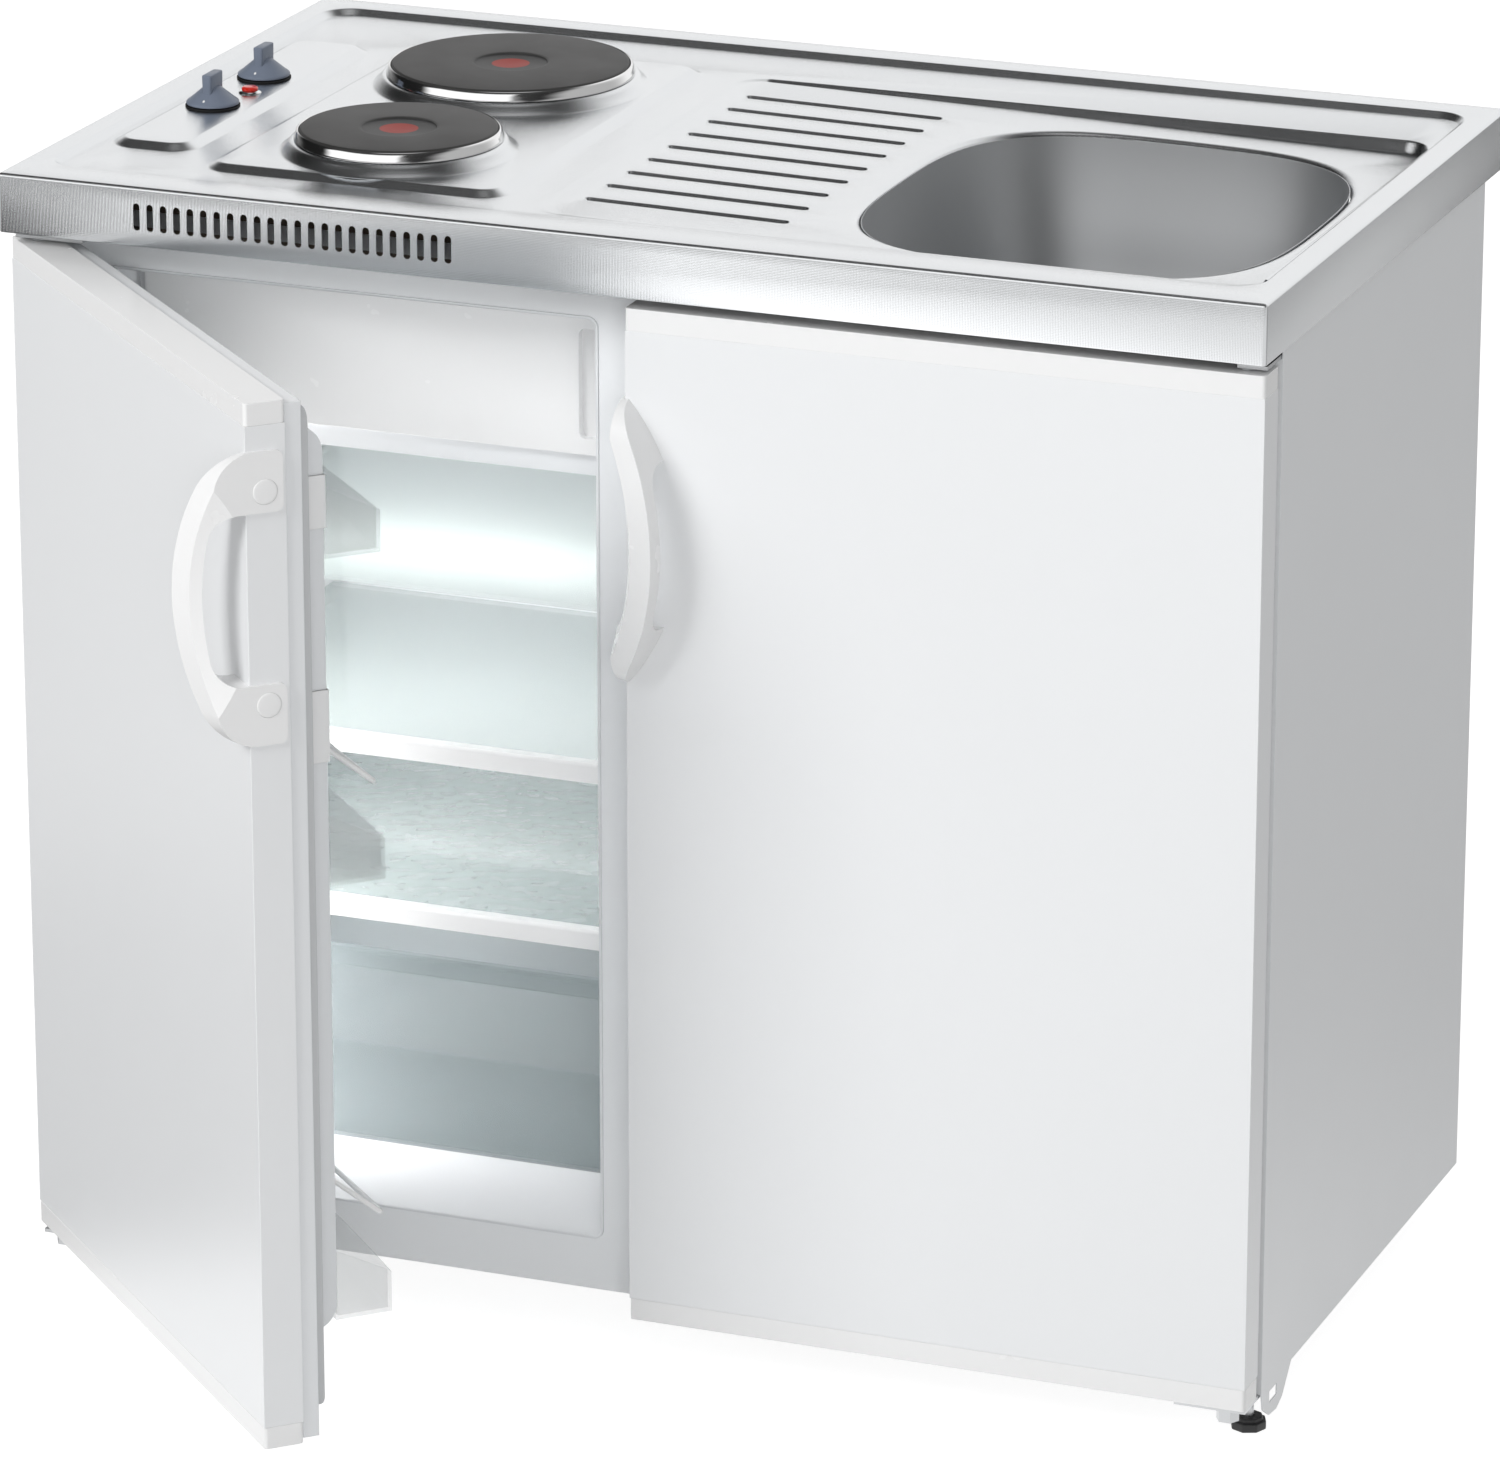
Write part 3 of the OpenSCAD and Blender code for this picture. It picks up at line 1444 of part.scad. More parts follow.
// Black eight-sided pads of the levelling feet
module feet() {
    socket_l = 6;
    color([0.08, 0.08, 0.08])
        for (p = foot_spots)
            translate([p[0], p[1], 0])
                difference() {
                    union() {
                        cylinder(h = 0.7 * foot_h, r = foot_r, $fn = 8);
                        cylinder(h = foot_h, r = 0.8 * foot_r, $fn = 8);
                    }
                    translate([0, 0, foot_h - socket_l])
                        cylinder(h = socket_l + over, r = stud_r + run);
                }
}

// Threaded studs of the feet with their lock nuts
module foot_studs() {
    nut_h = 7;
    socket_l = 6;
    color("silver")
        for (p = foot_spots)
            translate([p[0], p[1], 0]) {
                translate([0, 0, foot_h - socket_l])
                    cylinder(h = p[2] - foot_h + socket_l - seat, r = stud_r);
                translate([0, 0, p[2] - nut_h])
                    cylinder(h = nut_h - seat, r = 8.5, $fn = 6);
            }
}

worktop();
worktop_frame();
sink_flange();
sink_bowl();
sink_floor();
sink_waste();
waste_nut();
hotplate_large();
hotplate_small();
spill_ring_large();
spill_ring_small();
hotplate_clamps();
hotplate_studs();
knob_front();
knob_rear();
spindle_front();
spindle_rear();
hob_switches();
knob_seals();
pilot_bezel();
pilot_lens();
fridge_shell();
fridge_foam();
fridge_liner();
freezer_box();
freezer_flap();
fridge_shelves();
crisper_shelf();
shelf_trims();
crisper();
thermostat_housing();
thermostat_dial();
compressor();
condenser();
condenser_feed();
drip_tray();
machine_tray();
cable_gland();
fridge_door_panel();
fridge_door_caps();
fridge_door_foam();
fridge_door_liner();
fridge_door_seal();
fridge_handle();
fridge_handle_caps();
door_racks();
rack_brackets();
bottle_wires();
fridge_hinges();
cupboard_side();
cupboard_divider();
cupboard_floor();
cupboard_back();
cupboard_rail();
cupboard_shelf();
cupboard_door_panel();
cupboard_door_back();
cupboard_door_caps();
cupboard_handle();
cupboard_handle_caps();
cupboard_hinges();
feet();
foot_studs();
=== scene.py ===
# %% [markdown]
# # A kitchenette in Blender
# A steel worktop with a sink and two hotplates stands on a small refrigerator and a
# cupboard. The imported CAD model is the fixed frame: it says where everything is and what
# moves. This script gives the visible pieces their soft edges and finishes, in metres, in
# the same frame: +X right, +Y towards the wall, +Z up, origin on the floor at the wall.

# %% Load the frame
import json
import math

import bmesh
import bpy
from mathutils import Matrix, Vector
from mathutils.geometry import delaunay_2d_cdt

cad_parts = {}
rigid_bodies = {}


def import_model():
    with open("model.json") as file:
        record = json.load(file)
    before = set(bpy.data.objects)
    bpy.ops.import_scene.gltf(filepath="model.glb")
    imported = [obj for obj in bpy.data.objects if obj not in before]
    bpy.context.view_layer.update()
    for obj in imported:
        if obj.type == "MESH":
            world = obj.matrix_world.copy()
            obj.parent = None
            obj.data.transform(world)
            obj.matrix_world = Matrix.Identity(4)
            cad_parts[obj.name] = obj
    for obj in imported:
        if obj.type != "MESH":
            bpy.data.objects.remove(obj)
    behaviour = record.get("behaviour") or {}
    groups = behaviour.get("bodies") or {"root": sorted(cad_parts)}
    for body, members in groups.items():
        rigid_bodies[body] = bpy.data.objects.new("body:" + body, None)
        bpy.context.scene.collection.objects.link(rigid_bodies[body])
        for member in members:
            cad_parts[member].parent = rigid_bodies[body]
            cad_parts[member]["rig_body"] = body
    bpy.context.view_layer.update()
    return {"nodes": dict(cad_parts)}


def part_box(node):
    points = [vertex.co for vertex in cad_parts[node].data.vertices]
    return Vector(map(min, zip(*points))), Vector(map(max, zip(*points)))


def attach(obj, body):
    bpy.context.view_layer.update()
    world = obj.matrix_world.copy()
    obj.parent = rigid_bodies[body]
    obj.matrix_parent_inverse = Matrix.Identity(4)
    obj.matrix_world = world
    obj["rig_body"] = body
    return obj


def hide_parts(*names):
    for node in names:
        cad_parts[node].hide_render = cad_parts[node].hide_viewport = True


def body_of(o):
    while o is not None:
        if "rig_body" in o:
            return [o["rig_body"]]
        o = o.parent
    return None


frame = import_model()
scene = bpy.context.scene

# %% [markdown]
# ## Camera
# The photograph was taken with a long lens from the front right, a little above the
# worktop. A camera far away with a narrow view keeps the upright edges nearly parallel.

# %% Camera
camera_data = bpy.data.cameras.new("camera")
camera_data.sensor_width = 36.0
camera_data.lens = 198.74
camera = bpy.data.objects.new("camera", camera_data)
camera.location = (2.2205, -5.9973, 2.4887)
camera.rotation_euler = (math.radians(71.3068), 0.0, math.radians(21.3872))
scene.collection.objects.link(camera)
scene.camera = camera
print("lens", camera_data.lens, "mm, distance", round(camera.location.length, 2), "m")

# %% [markdown]
# ## A small language for shaders
# A material or a world is a graph of nodes. Writing the graph as Python expressions keeps it
# short: `Value` wraps an output socket, and its operators add Math nodes. `Graph` holds one
# graph, and its `add` method makes any other node.

# %% Shader values and graphs
MM = 0.001


class Value:
    """An output socket that Python's operators can combine."""

    def __init__(self, graph, socket):
        self.graph, self.socket = graph, socket

    def math(self, operation, *values):
        return self.graph.add("ShaderNodeMath", {"operation": operation}, values)

    def __add__(self, other):
        return self.math("ADD", self, other)

    def __sub__(self, other):
        return self.math("SUBTRACT", self, other)

    def __rsub__(self, other):
        return self.math("SUBTRACT", other, self)

    def __mul__(self, other):
        return self.math("MULTIPLY", self, other)

    def __pow__(self, other):
        return self.math("POWER", self, other)

    def __lt__(self, other):
        return self.math("LESS_THAN", self, other)

    def __or__(self, other):
        """The larger of the two."""
        return self.math("MAXIMUM", self, other)

    __radd__ = __add__
    __rmul__ = __mul__

    def sin(self):
        return self.math("SINE", self)

    def fade(self, start, end, low, high=1.0):
        """high up to start, then a smooth change to low at end."""
        return self.graph.add("ShaderNodeMapRange", {"interpolation_type": "SMOOTHSTEP"},
                              (self, start, end, high, low))


class Graph:
    """The nodes of one material or of the world, made by calls."""

    def __init__(self, tree):
        self.tree = tree

    def feed(self, socket, value):
        if isinstance(value, Value):
            self.tree.links.new(value.socket, socket)
        else:
            socket.default_value = value

    def add(self, kind, settings=None, values=(), out=0, **named):
        """Any node. Its settings come first, then its sockets in order or by name."""
        node = self.tree.nodes.new(kind)
        for key, value in (settings or {}).items():
            setattr(node, key, value)
        for socket, value in zip(node.inputs, values):
            self.feed(socket, value)
        for key, value in named.items():
            self.feed(node.inputs[key.replace("_", " ")], value)
        return Value(self, node.outputs[out])

    def split(self, vector):
        """The three numbers of a vector."""
        node = self.add("ShaderNodeSeparateXYZ", Vector=vector).socket.node
        return [Value(self, output) for output in node.outputs]

    def rays(self, *kinds):
        """For each kind of ray, a value that is 1 for such rays and 0 for others."""
        node = self.add("ShaderNodeLightPath").socket.node
        return [Value(self, node.outputs[f"Is {kind} Ray"]) for kind in kinds]


print("shader language ready")

# %% [markdown]
# ## A plain pale studio
# Steel shows the room around it, so the room is part of the look. The camera sees white on
# all sides and a floor with a soft shadow. Metal sees a floor and a room with dark and bright
# places. The colours of the floor and the world do that, not more light on the object.

# %% Floor
EDGE = 14
floor_mesh = bpy.data.meshes.new("floor")
floor_mesh.from_pydata([(-EDGE, -EDGE, 0), (EDGE, -EDGE, 0), (EDGE, EDGE, 0), (-EDGE, EDGE, 0)],
                       [], [(0, 1, 2, 3)])
floor = bpy.data.objects.new("floor", floor_mesh)
scene.collection.objects.link(floor)

pale = bpy.data.materials.new("pale_floor")
pale.use_nodes = True
floor_mesh.materials.append(pale)
graph = Graph(pale.node_tree)
to_camera, through, glossy = graph.rays("Camera", "Transmission", "Glossy")
x, y, _ = graph.split(graph.add("ShaderNodeNewGeometry", out="Position"))
# across is where a line along the skirt's reflection meets the plane of the unit's front. In
# metal the floor is dark at the left, bright in the middle, dim at the right and behind, and
# bright again far out at the left
FRONT_PLANE, SLANT = -0.6, 0.44
across = x - (y - FRONT_PLANE) * SLANT
left = across.fade(-0.68, -0.4, 1.5, 0.08) | across.fade(-1.9, -1.2, 0.0, 0.7)
in_metal = left * across.fade(0.2, 0.9, 0.55) * y.fade(-0.9, 0.6, 0.42)
white = to_camera | through
glow = graph.add("ShaderNodeEmission", Strength=white * 0.9 + glossy * in_metal)
share = white.fade(0.0, 1.0, 0.3, 0.55) * (1 - glossy)
shade = graph.add("ShaderNodeCombineColor", values=(share, share, share))
soft = graph.add("ShaderNodeBsdfDiffuse", Color=shade)
graph.feed(pale.node_tree.nodes["Material Output"].inputs["Surface"],
           graph.add("ShaderNodeAddShader", values=(glow, soft)))
print("floor", 2 * EDGE, "m wide")

# %% World
world = bpy.data.worlds.new("studio")
scene.world = world
world.use_nodes = True
graph = Graph(world.node_tree)
x, y, z = graph.split(graph.add("ShaderNodeTexCoord", out="Generated"))
# Metal sees a pale room behind the unit and above its back, a dark one above its front, dim
# sides, a pale patch of ceiling and a pale wall far in front
upward = z * 0.9 - y * 0.75 - x * 0.5
room = upward.fade(-0.05, 0.42, 0.06) * x.fade(0.3, 0.8, 0.5) * x.fade(-0.9, -0.5, 1.0, 0.2)
room = room | z.fade(0.95, 0.99, 0.5, 0.0) | y.fade(-0.92, -0.72, 0.0, 0.5)
# A soft box high in front of the unit, which the polished rings show as a bright band
box = x.fade(-0.92, -0.8, 1.2, 0.0) * x.fade(0.3, 0.45, 0.0) * y.fade(-0.42, -0.3, 0.0)
box = box * z.fade(0.1, 0.2, 1.0, 0.0) * z.fade(0.62, 0.74, 0.0)
AMBIENT = 0.48
to_camera, through, glossy, diffuse = graph.rays("Camera", "Transmission", "Glossy", "Diffuse")
graph.feed(world.node_tree.nodes["Background"].inputs["Strength"],
           (to_camera | through) + (room | box) * glossy + diffuse * AMBIENT)
world.node_tree.nodes["Background"].inputs["Color"].default_value = (1, 1, 1, 1)
scene.view_settings.view_transform = "Standard"
print("world ready")

# %% [markdown]
# ## Lamps
# A large soft lamp in front, a little to the left, is the key: fronts are bright and the
# right side is a step darker. A weaker one fills from the right, and one from behind lights
# the back. The cold space, which its open door would leave in shade, has a strip just inside
# its left front edge and a small lamp under the freezer.

# %% Lamps


def soft_lamp(name, place, target, size, power, color=(1, 1, 1)):
    """A rectangle of light that neither the camera nor metal or glass shows."""
    data = bpy.data.lights.new(name, "AREA")
    data.shape = "RECTANGLE"
    data.size, data.size_y = size
    data.energy = power
    data.color = color
    lamp = bpy.data.objects.new(name, data)
    lamp.location = place
    lamp.rotation_euler = (Vector(target) - Vector(place)).to_track_quat("-Z", "Y").to_euler()
    lamp.visible_camera = lamp.visible_glossy = lamp.visible_transmission = False
    scene.collection.objects.link(lamp)


soft_lamp("key", (-2.6, -4.6, 3.6), (0, -0.3, 0.5), (2.4, 2.0), 158)
soft_lamp("fill", (2.4, -5.5, 1.7), (0, -0.3, 0.5), (1.8, 1.8), 66)
soft_lamp("rear", (0.6, 2.6, 2.8), (0, -0.3, 0.9), (2.6, 1.0), 30)
soft_lamp("cold_strip", (-0.425, -0.50, 0.36), (-0.1, -0.2, 0.36), (0.02, 0.5), 1.8,
          (1.0, 0.98, 0.97))
soft_lamp("cold_lamp", (-0.24, -0.36, 0.64), (-0.24, -0.30, 0.2), (0.3, 0.03), 0.3,
          (1.0, 0.98, 0.96))

# %% [markdown]
# ## Finishes
# A `Finish` is one material. Its methods give it coordinates, noise, colour, roughness and
# bump, and each finish below is a few such calls.

# %% Finish class


class Finish(Graph):
    """One material; the keywords are values of its shader's sockets."""

    def __init__(self, name, **sockets):
        self.material = bpy.data.materials.new(name)
        self.material.use_nodes = True
        super().__init__(self.material.node_tree)
        self.shader = self.tree.nodes["Principled BSDF"]
        for key, value in sockets.items():
            self.shader.inputs[key.replace("_", " ")].default_value = value
        self.coordinates = None

    def place(self, scale=(1, 1, 1)):
        """Object coordinates in metres, stretched by scale."""
        if self.coordinates is None:
            self.coordinates = self.add("ShaderNodeTexCoord", out="Object")
        return self.add("ShaderNodeMapping", Vector=self.coordinates, Scale=scale)

    def xyz(self):
        return self.split(self.place())

    def noise(self, scale, detail=2.0, stretch=(1, 1, 1)):
        return self.add("ShaderNodeTexNoise", Vector=self.place(stretch), Scale=scale,
                        Detail=detail, Roughness=0.5)

    def between(self, factor, low, high):
        """A number that runs from low to high as factor runs from 0 to 1."""
        return self.add("ShaderNodeMapRange", {}, (factor, 0.0, 1.0, low, high))

    def blend(self, factor, color_a, color_b):
        node = self.tree.nodes.new("ShaderNodeMix")
        node.data_type = "RGBA"
        self.feed(node.inputs["Factor"], factor)
        colors = [s for s in node.inputs if s.type == "RGBA"]
        self.feed(colors[0], color_a)
        self.feed(colors[1], color_b)
        return Value(self, [s for s in node.outputs if s.type == "RGBA"][0])

    def paint(self, value, socket="Base Color"):
        self.feed(self.shader.inputs[socket], value)
        return self

    def bump(self, height, distance, strength):
        """Raises the surface by height times distance, in metres."""
        return self.paint(self.add("ShaderNodeBump", Strength=strength, Distance=distance,
                                   Height=height), "Normal")


def tint(level, warm=0.0):
    """A near-grey linear colour; warm above 0 leans to red, below 0 to blue."""
    return (level * (1 + warm), level, level * (1 - warm), 1.0)


print("finish class ready")

# %% [markdown]
# ## Stainless steel
# The worktop is satin stainless: bright, with very fine grain and broad soft highlights. Its
# sheet has a fine pressed linen pattern, which hides finger marks. It is two crossed sine
# waves in x and y + z, so that it lies right on the flat top and on the upright skirt.

# %% Steel finishes
def satin_steel(name, level, low, high, grain=1.0):
    steel = Finish(name, Metallic=1.0)
    mottle = steel.noise(9.0, 3.0)
    streak = steel.noise(60.0, 2.0, (1.0, 26.0, 26.0))
    steel.paint(steel.blend(mottle, tint(level * 0.93, -0.022), tint(level, -0.014)))
    steel.paint(steel.between(streak * 0.5 + mottle * 0.5, low, high), "Roughness")
    steel.bump(streak, 0.00001 * grain, 0.6)
    return steel


worktop_steel = satin_steel("worktop_steel", 0.84, 0.19, 0.26)
WEAVE_PITCH = 0.0024
waves = 2 * math.pi / WEAVE_PITCH
x, y, z = worktop_steel.xyz()
along = y + z
weave = ((x + along) * waves).sin() * ((x - along) * waves).sin()
worktop_steel.bump(weave, 0.000028, 0.9)

bowl_steel = satin_steel("bowl_steel", 0.66, 0.42, 0.52)
plain_zinc = satin_steel("plain_zinc", 0.62, 0.3, 0.45, 4.0)
bright_ring = Finish("bright_ring", Metallic=1.0, Base_Color=tint(0.86))
bright_ring.paint(bright_ring.between(bright_ring.noise(40.0), 0.07, 0.14), "Roughness")
print("steel finishes: worktop, bowl, zinc, bright")

# %% [markdown]
# ## White enamel, mouldings and clear pieces
# Powder enamel has a faint orange peel: a low, wide bump that only shows in the highlights.
# Mouldings are smoother and a touch warmer. The liner is a thin glossy sheet with a cool
# tone. Clear pieces are thin sheets, so they are made by Alpha: a real sheet lets most light
# through where it is seen flat, and its steep faces look denser.

# %% White and clear finishes


def enamel(name, color, low=0.28, high=0.36, peel=0.00003):
    coat = Finish(name, IOR=1.5)
    cloud = coat.noise(3.0, 2.0)
    coat.paint(coat.blend(cloud, tint(color[0] * 0.985, color[1]), tint(*color)))
    coat.paint(coat.between(coat.noise(25.0, 3.0), low, high), "Roughness")
    coat.bump(coat.noise(650.0, 2.0), peel, 0.5)
    return coat


door_enamel = enamel("door_enamel", (0.86, -0.014))
side_enamel = enamel("side_enamel", (0.84, -0.018))
frame_enamel = enamel("frame_enamel", (0.9, -0.018))
moulding = enamel("moulding", (0.88, -0.002), 0.22, 0.3, 0.00001)
liner_white = enamel("liner_white", (0.82, -0.02), 0.2, 0.3, 0.00001)
seal_grey = enamel("seal_grey", (0.6, -0.02), 0.5, 0.6)
board_white = enamel("board_white", (0.82, 0.0), 0.35, 0.45)
ivory_plastic = enamel("ivory_plastic", (0.7, 0.06), 0.4, 0.5)


def clear(name, color, face_on, edge_on):
    """A thin clear sheet; face_on and edge_on are its Alpha seen flat and seen steeply."""
    sheet = Finish(name, IOR=1.5, Roughness=0.08)
    tone = sheet.noise(8.0, 2.0)
    sheet.paint(sheet.blend(tone, [c * 0.94 for c in color] + [1], list(color) + [1]))
    facing = sheet.add("ShaderNodeLayerWeight", out="Facing", Blend=0.35)
    sheet.paint(sheet.between(facing, face_on, edge_on), "Alpha")
    return sheet


shelf_glass = clear("shelf_glass", (0.74, 0.84, 0.82), 0.08, 0.5)
rack_clear = clear("rack_clear", (0.74, 0.77, 0.78), 0.08, 0.42)
crisper_clear = clear("crisper_clear", (0.56, 0.64, 0.66), 0.16, 0.55)
rippled_glass = clear("rippled_glass", (0.72, 0.81, 0.80), 0.18, 0.55)
cells = rippled_glass.add("ShaderNodeTexVoronoi", {"feature": "SMOOTH_F1"}, Scale=70.0,
                          Vector=rippled_glass.place())
rippled_glass.bump(cells, 0.002, 0.8)
print("white and clear finishes ready")

# %% [markdown]
# ## Iron, plastics and rubber
# A hotplate is turned cast iron, blackened: fine rings round its middle, and a red dot
# painted in its sunk centre. The rings and the dot come from the distance to the axis.

# %% Iron, plastic and rubber finishes
HOB_X = -0.247
PLATES = {"large": (0.090, -0.209), "small": (0.0725, -0.426)}
SUNK, DOT, BLUR = 0.0295, 0.0148, 0.0005
TURNING = 0.0011
DOT_RED = (0.36, 0.03, 0.018, 1)


def plate_iron(name, y0):
    iron = Finish(name, Metallic=0.35, IOR=1.6)
    x, y, _ = iron.xyz()
    reach = ((x - HOB_X) ** 2.0 + (y - y0) ** 2.0) ** 0.5
    rings = (reach * (2 * math.pi / TURNING)).sin()
    cloud = iron.noise(30.0, 4.0)
    black = iron.blend(cloud, tint(0.035, 0.02), tint(0.06, 0.02))
    hub = iron.blend(reach < SUNK - 0.001, black, tint(0.05, 0.0))
    dot = iron.add("ShaderNodeMapRange", {}, (reach, DOT - BLUR, DOT + BLUR, 1.0, 0.0))
    iron.paint(iron.blend(dot, hub, DOT_RED))
    iron.paint(iron.between(cloud, 0.42, 0.58), "Roughness")
    iron.bump(rings, 0.00003, 0.6)
    return iron


plate_finish = {key: plate_iron(key + "_plate_iron", y0) for key, (_, y0) in PLATES.items()}


def plastic(name, color, low, high, grain=0.00002):
    stuff = Finish(name, IOR=1.5)
    fine = stuff.noise(900.0, 2.0)
    stuff.paint(stuff.blend(stuff.noise(12.0), [c * 0.93 for c in color] + [1], list(color) + [1]))
    stuff.paint(stuff.between(fine, low, high), "Roughness")
    stuff.bump(fine, grain, 0.6)
    return stuff


black_rubber = plastic("black_rubber", (0.012, 0.012, 0.013), 0.6, 0.75)
black_plastic = plastic("black_plastic", (0.02, 0.02, 0.021), 0.4, 0.55)
black_paint = plastic("black_paint", (0.018, 0.018, 0.02), 0.3, 0.4)
foam_core = plastic("foam_core", (0.62, 0.52, 0.3), 0.8, 0.9, 0.0004)
# Pine batten with painted shade: the wood is made nearly black so that it shows dark through the
# skirt's air slots, as shade. The streaks in it are its grain.
PINE_WITH_PAINTED_SHADE = (0.07, 0.05, 0.032)
pine_with_painted_shade = plastic("pine_with_painted_shade", PINE_WITH_PAINTED_SHADE, 0.6, 0.75)
grain = pine_with_painted_shade.noise(14.0, 5.0, (1, 12, 12))
pine_with_painted_shade.paint(pine_with_painted_shade.blend(grain, (0.035, 0.026, 0.018, 1), (*PINE_WITH_PAINTED_SHADE, 1)))
red_lens = Finish("red_lens", Base_Color=(0.7, 0.02, 0.01, 1), IOR=1.5, Coat_Weight=0.6)
red_lens.paint(red_lens.between(red_lens.noise(200.0), 0.12, 0.22), "Roughness")
print("iron, plastic and rubber finishes ready")

# %% [markdown]
# ## Mesh helpers
# Most pieces are rings of points joined by quads: a lathe turns a profile about an axis, and
# a loft joins outlines at several heights. Sizes are written in millimetres, as a maker
# would, and turned into metres once, when the mesh is made.

# %% Mesh helpers
WELD = 0.02


def piece(name, points, faces, finish, body, slot, smooth=32.0):
    """A mesh object from millimetre points; body is the CAD body that it rides on."""
    mesh = bpy.data.meshes.new(name)
    mesh.from_pydata([Vector(p) * MM for p in points], [], faces)
    shape = bmesh.new()
    shape.from_mesh(mesh)
    bmesh.ops.remove_doubles(shape, verts=shape.verts, dist=WELD * MM)
    bmesh.ops.recalc_face_normals(shape, faces=shape.faces)
    shape.to_mesh(mesh)
    shape.free()
    soften(mesh, smooth)
    mesh.materials.append(finish.material)
    thing = bpy.data.objects.new(name, mesh)
    scene.collection.objects.link(thing)
    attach(thing, body)
    return thing


def soften(mesh, angle):
    """Shades smooth, with edges sharper than angle degrees kept crisp."""
    mesh.shade_smooth()
    mesh.set_sharp_from_angle(angle=math.radians(angle))


def bake(thing):
    """Applies the modifiers, so that the piece is a plain mesh."""
    bpy.context.view_layer.update()
    graph = bpy.context.evaluated_depsgraph_get()
    mesh = bpy.data.meshes.new_from_object(thing.evaluated_get(graph), depsgraph=graph)
    thing.modifiers.clear()
    thing.data = mesh
    return thing


def loft(rings, capped=False):
    """Points and quads of rings that all have the same number of points."""
    n = len(rings[0])
    points = [p for ring in rings for p in ring]
    faces = []
    for i in range(len(rings) - 1):
        for j in range(n):
            k = (j + 1) % n
            faces.append((i * n + j, i * n + k, (i + 1) * n + k, (i + 1) * n + j))
    if capped:
        faces.append(tuple(reversed(range(n))))
        faces.append(tuple(range((len(rings) - 1) * n, len(rings) * n)))
    return points, faces


def ring_of(radius, z, cx, cy, n=96):
    turns = (2 * math.pi * i / n for i in range(n))
    return [(cx + radius * math.cos(a), cy + radius * math.sin(a), z) for a in turns]


def lathe(profile, cx, cy, n=96):
    """Turns a profile of (radius, height) about the upright axis at cx, cy."""
    return loft([ring_of(max(r, 0.001), z, cx, cy, n) for r, z in profile])


def merge(*parts):
    """Joins several pairs of points and faces into one."""
    points, faces = [], []
    for some_points, some_faces in parts:
        shift = len(points)
        points += some_points
        faces += [tuple(i + shift for i in face) for face in some_faces]
    return points, faces


def rounded(x0, x1, y0, y1, r, n=9):
    """The outline of a rectangle with round corners, anticlockwise, as (x, y) points."""
    r = max(min(r, (x1 - x0) / 2, (y1 - y0) / 2), 0.01)
    outline = []
    corners = ((x1 - r, y1 - r), (x0 + r, y1 - r), (x0 + r, y0 + r), (x1 - r, y0 + r))
    for (cx, cy), start in zip(corners, (0, 90, 180, 270)):
        for i in range(n + 1):
            a = math.radians(start + 90 * i / n)
            outline.append((cx + r * math.cos(a), cy + r * math.sin(a)))
    return outline


def sheet_between(outer, holes, lift):
    """A flat region with holes as triangles; lift gives each point its height."""
    flat, loops = [], []
    for loop in [outer] + list(holes):
        loops.append(list(range(len(flat), len(flat) + len(loop))))
        flat += [Vector(p[:2]) for p in loop]
    points, _, faces = delaunay_2d_cdt(flat, [], loops, 2, 0.0001)[:3]
    return [(p.x, p.y, lift(p.x, p.y)) for p in points], [tuple(f) for f in faces]


def flat_of(ring):
    """A ring seen from above."""
    return [(p[0], p[1]) for p in ring]


print("mesh helpers ready")

# %% [markdown]
# ## The worktop sheet
# A press forms the real one from a single sheet. Each form is an outline with an S-shaped
# wall, and the metal between the outlines stays flat. So the outlines are lofted with their
# walls, and the flats are filled between them. A Solidify modifier then gives it its 1 mm.

# %% Worktop sizes
RIM, DECK, PANEL, SKIRT = 895.0, 890.5, 895.5, 849.0
FRONT_Y, BEND = -600.0, 2.6
# Outlines: left, right, front, back and corner radius
OUTER_BOX = (-500, 500, FRONT_Y, 0, 3.0)
DECK_BOX = (-478, 478, -560, -30, 24)
HOB_BOX = (-366, -128, -518, -102, 18)
KNOB_BOX = (-463, -401, -478, -134, 18)
WET_BOX = (-90, 472, -540, -108, 22)
WET_DROP, FALL = 0.7, 9.0 / (WET_BOX[1] - WET_BOX[0])
WASTE_X, WASTE_Y = 290.0, -337.0
BOWL_POINTS, BOWL_POWER = 112, 3.25


def wet_level(x, y):
    """The sunk drainer area falls towards its right end."""
    return DECK - WET_DROP - (x - WET_BOX[0]) * FALL


def grown(box, offset):
    x0, x1, y0, y1, r = box
    return rounded(x0 - offset, x1 + offset, y0 - offset, y1 + offset, r + offset)


def flank(t):
    """0 to 1 with round ends and a straight middle, as a pressed wall has."""
    soft = 0.2
    k = 1 / (1 - soft)
    if t < soft:
        return k * t * t / (2 * soft)
    if t > 1 - soft:
        return 1 - k * (1 - t) ** 2 / (2 * soft)
    return k * (t - soft / 2)


def wall(box, inner, outer, reach, steps=10):
    """A pressed wall from the level inner to the level outer, reach wide, centred on box."""
    rings = []
    for i in range(steps + 1):
        t = i / steps
        offset = -reach / 2 + reach * t
        blend = flank(t)
        rings.append([(x, y, (1 - blend) * inner(x, y) + blend * outer(x, y))
                      for x, y in grown(box, offset)])
    return rings


def bowl_outline(offset):
    """The sink's rim: a rectangle whose sides bulge, as pressed bowls have."""
    a, b = 164.5 + offset, 187.5 + offset
    outline = []
    for i in range(BOWL_POINTS):
        turn = 2 * math.pi * i / BOWL_POINTS
        c, s = math.cos(turn), math.sin(turn)
        outline.append((WASTE_X + a * math.copysign(abs(c) ** (2 / BOWL_POWER), c),
                        WASTE_Y + b * math.copysign(abs(s) ** (2 / BOWL_POWER), s)))
    return outline


print("drainer falls", round((WET_BOX[1] - WET_BOX[0]) * FALL, 1), "mm to the right")

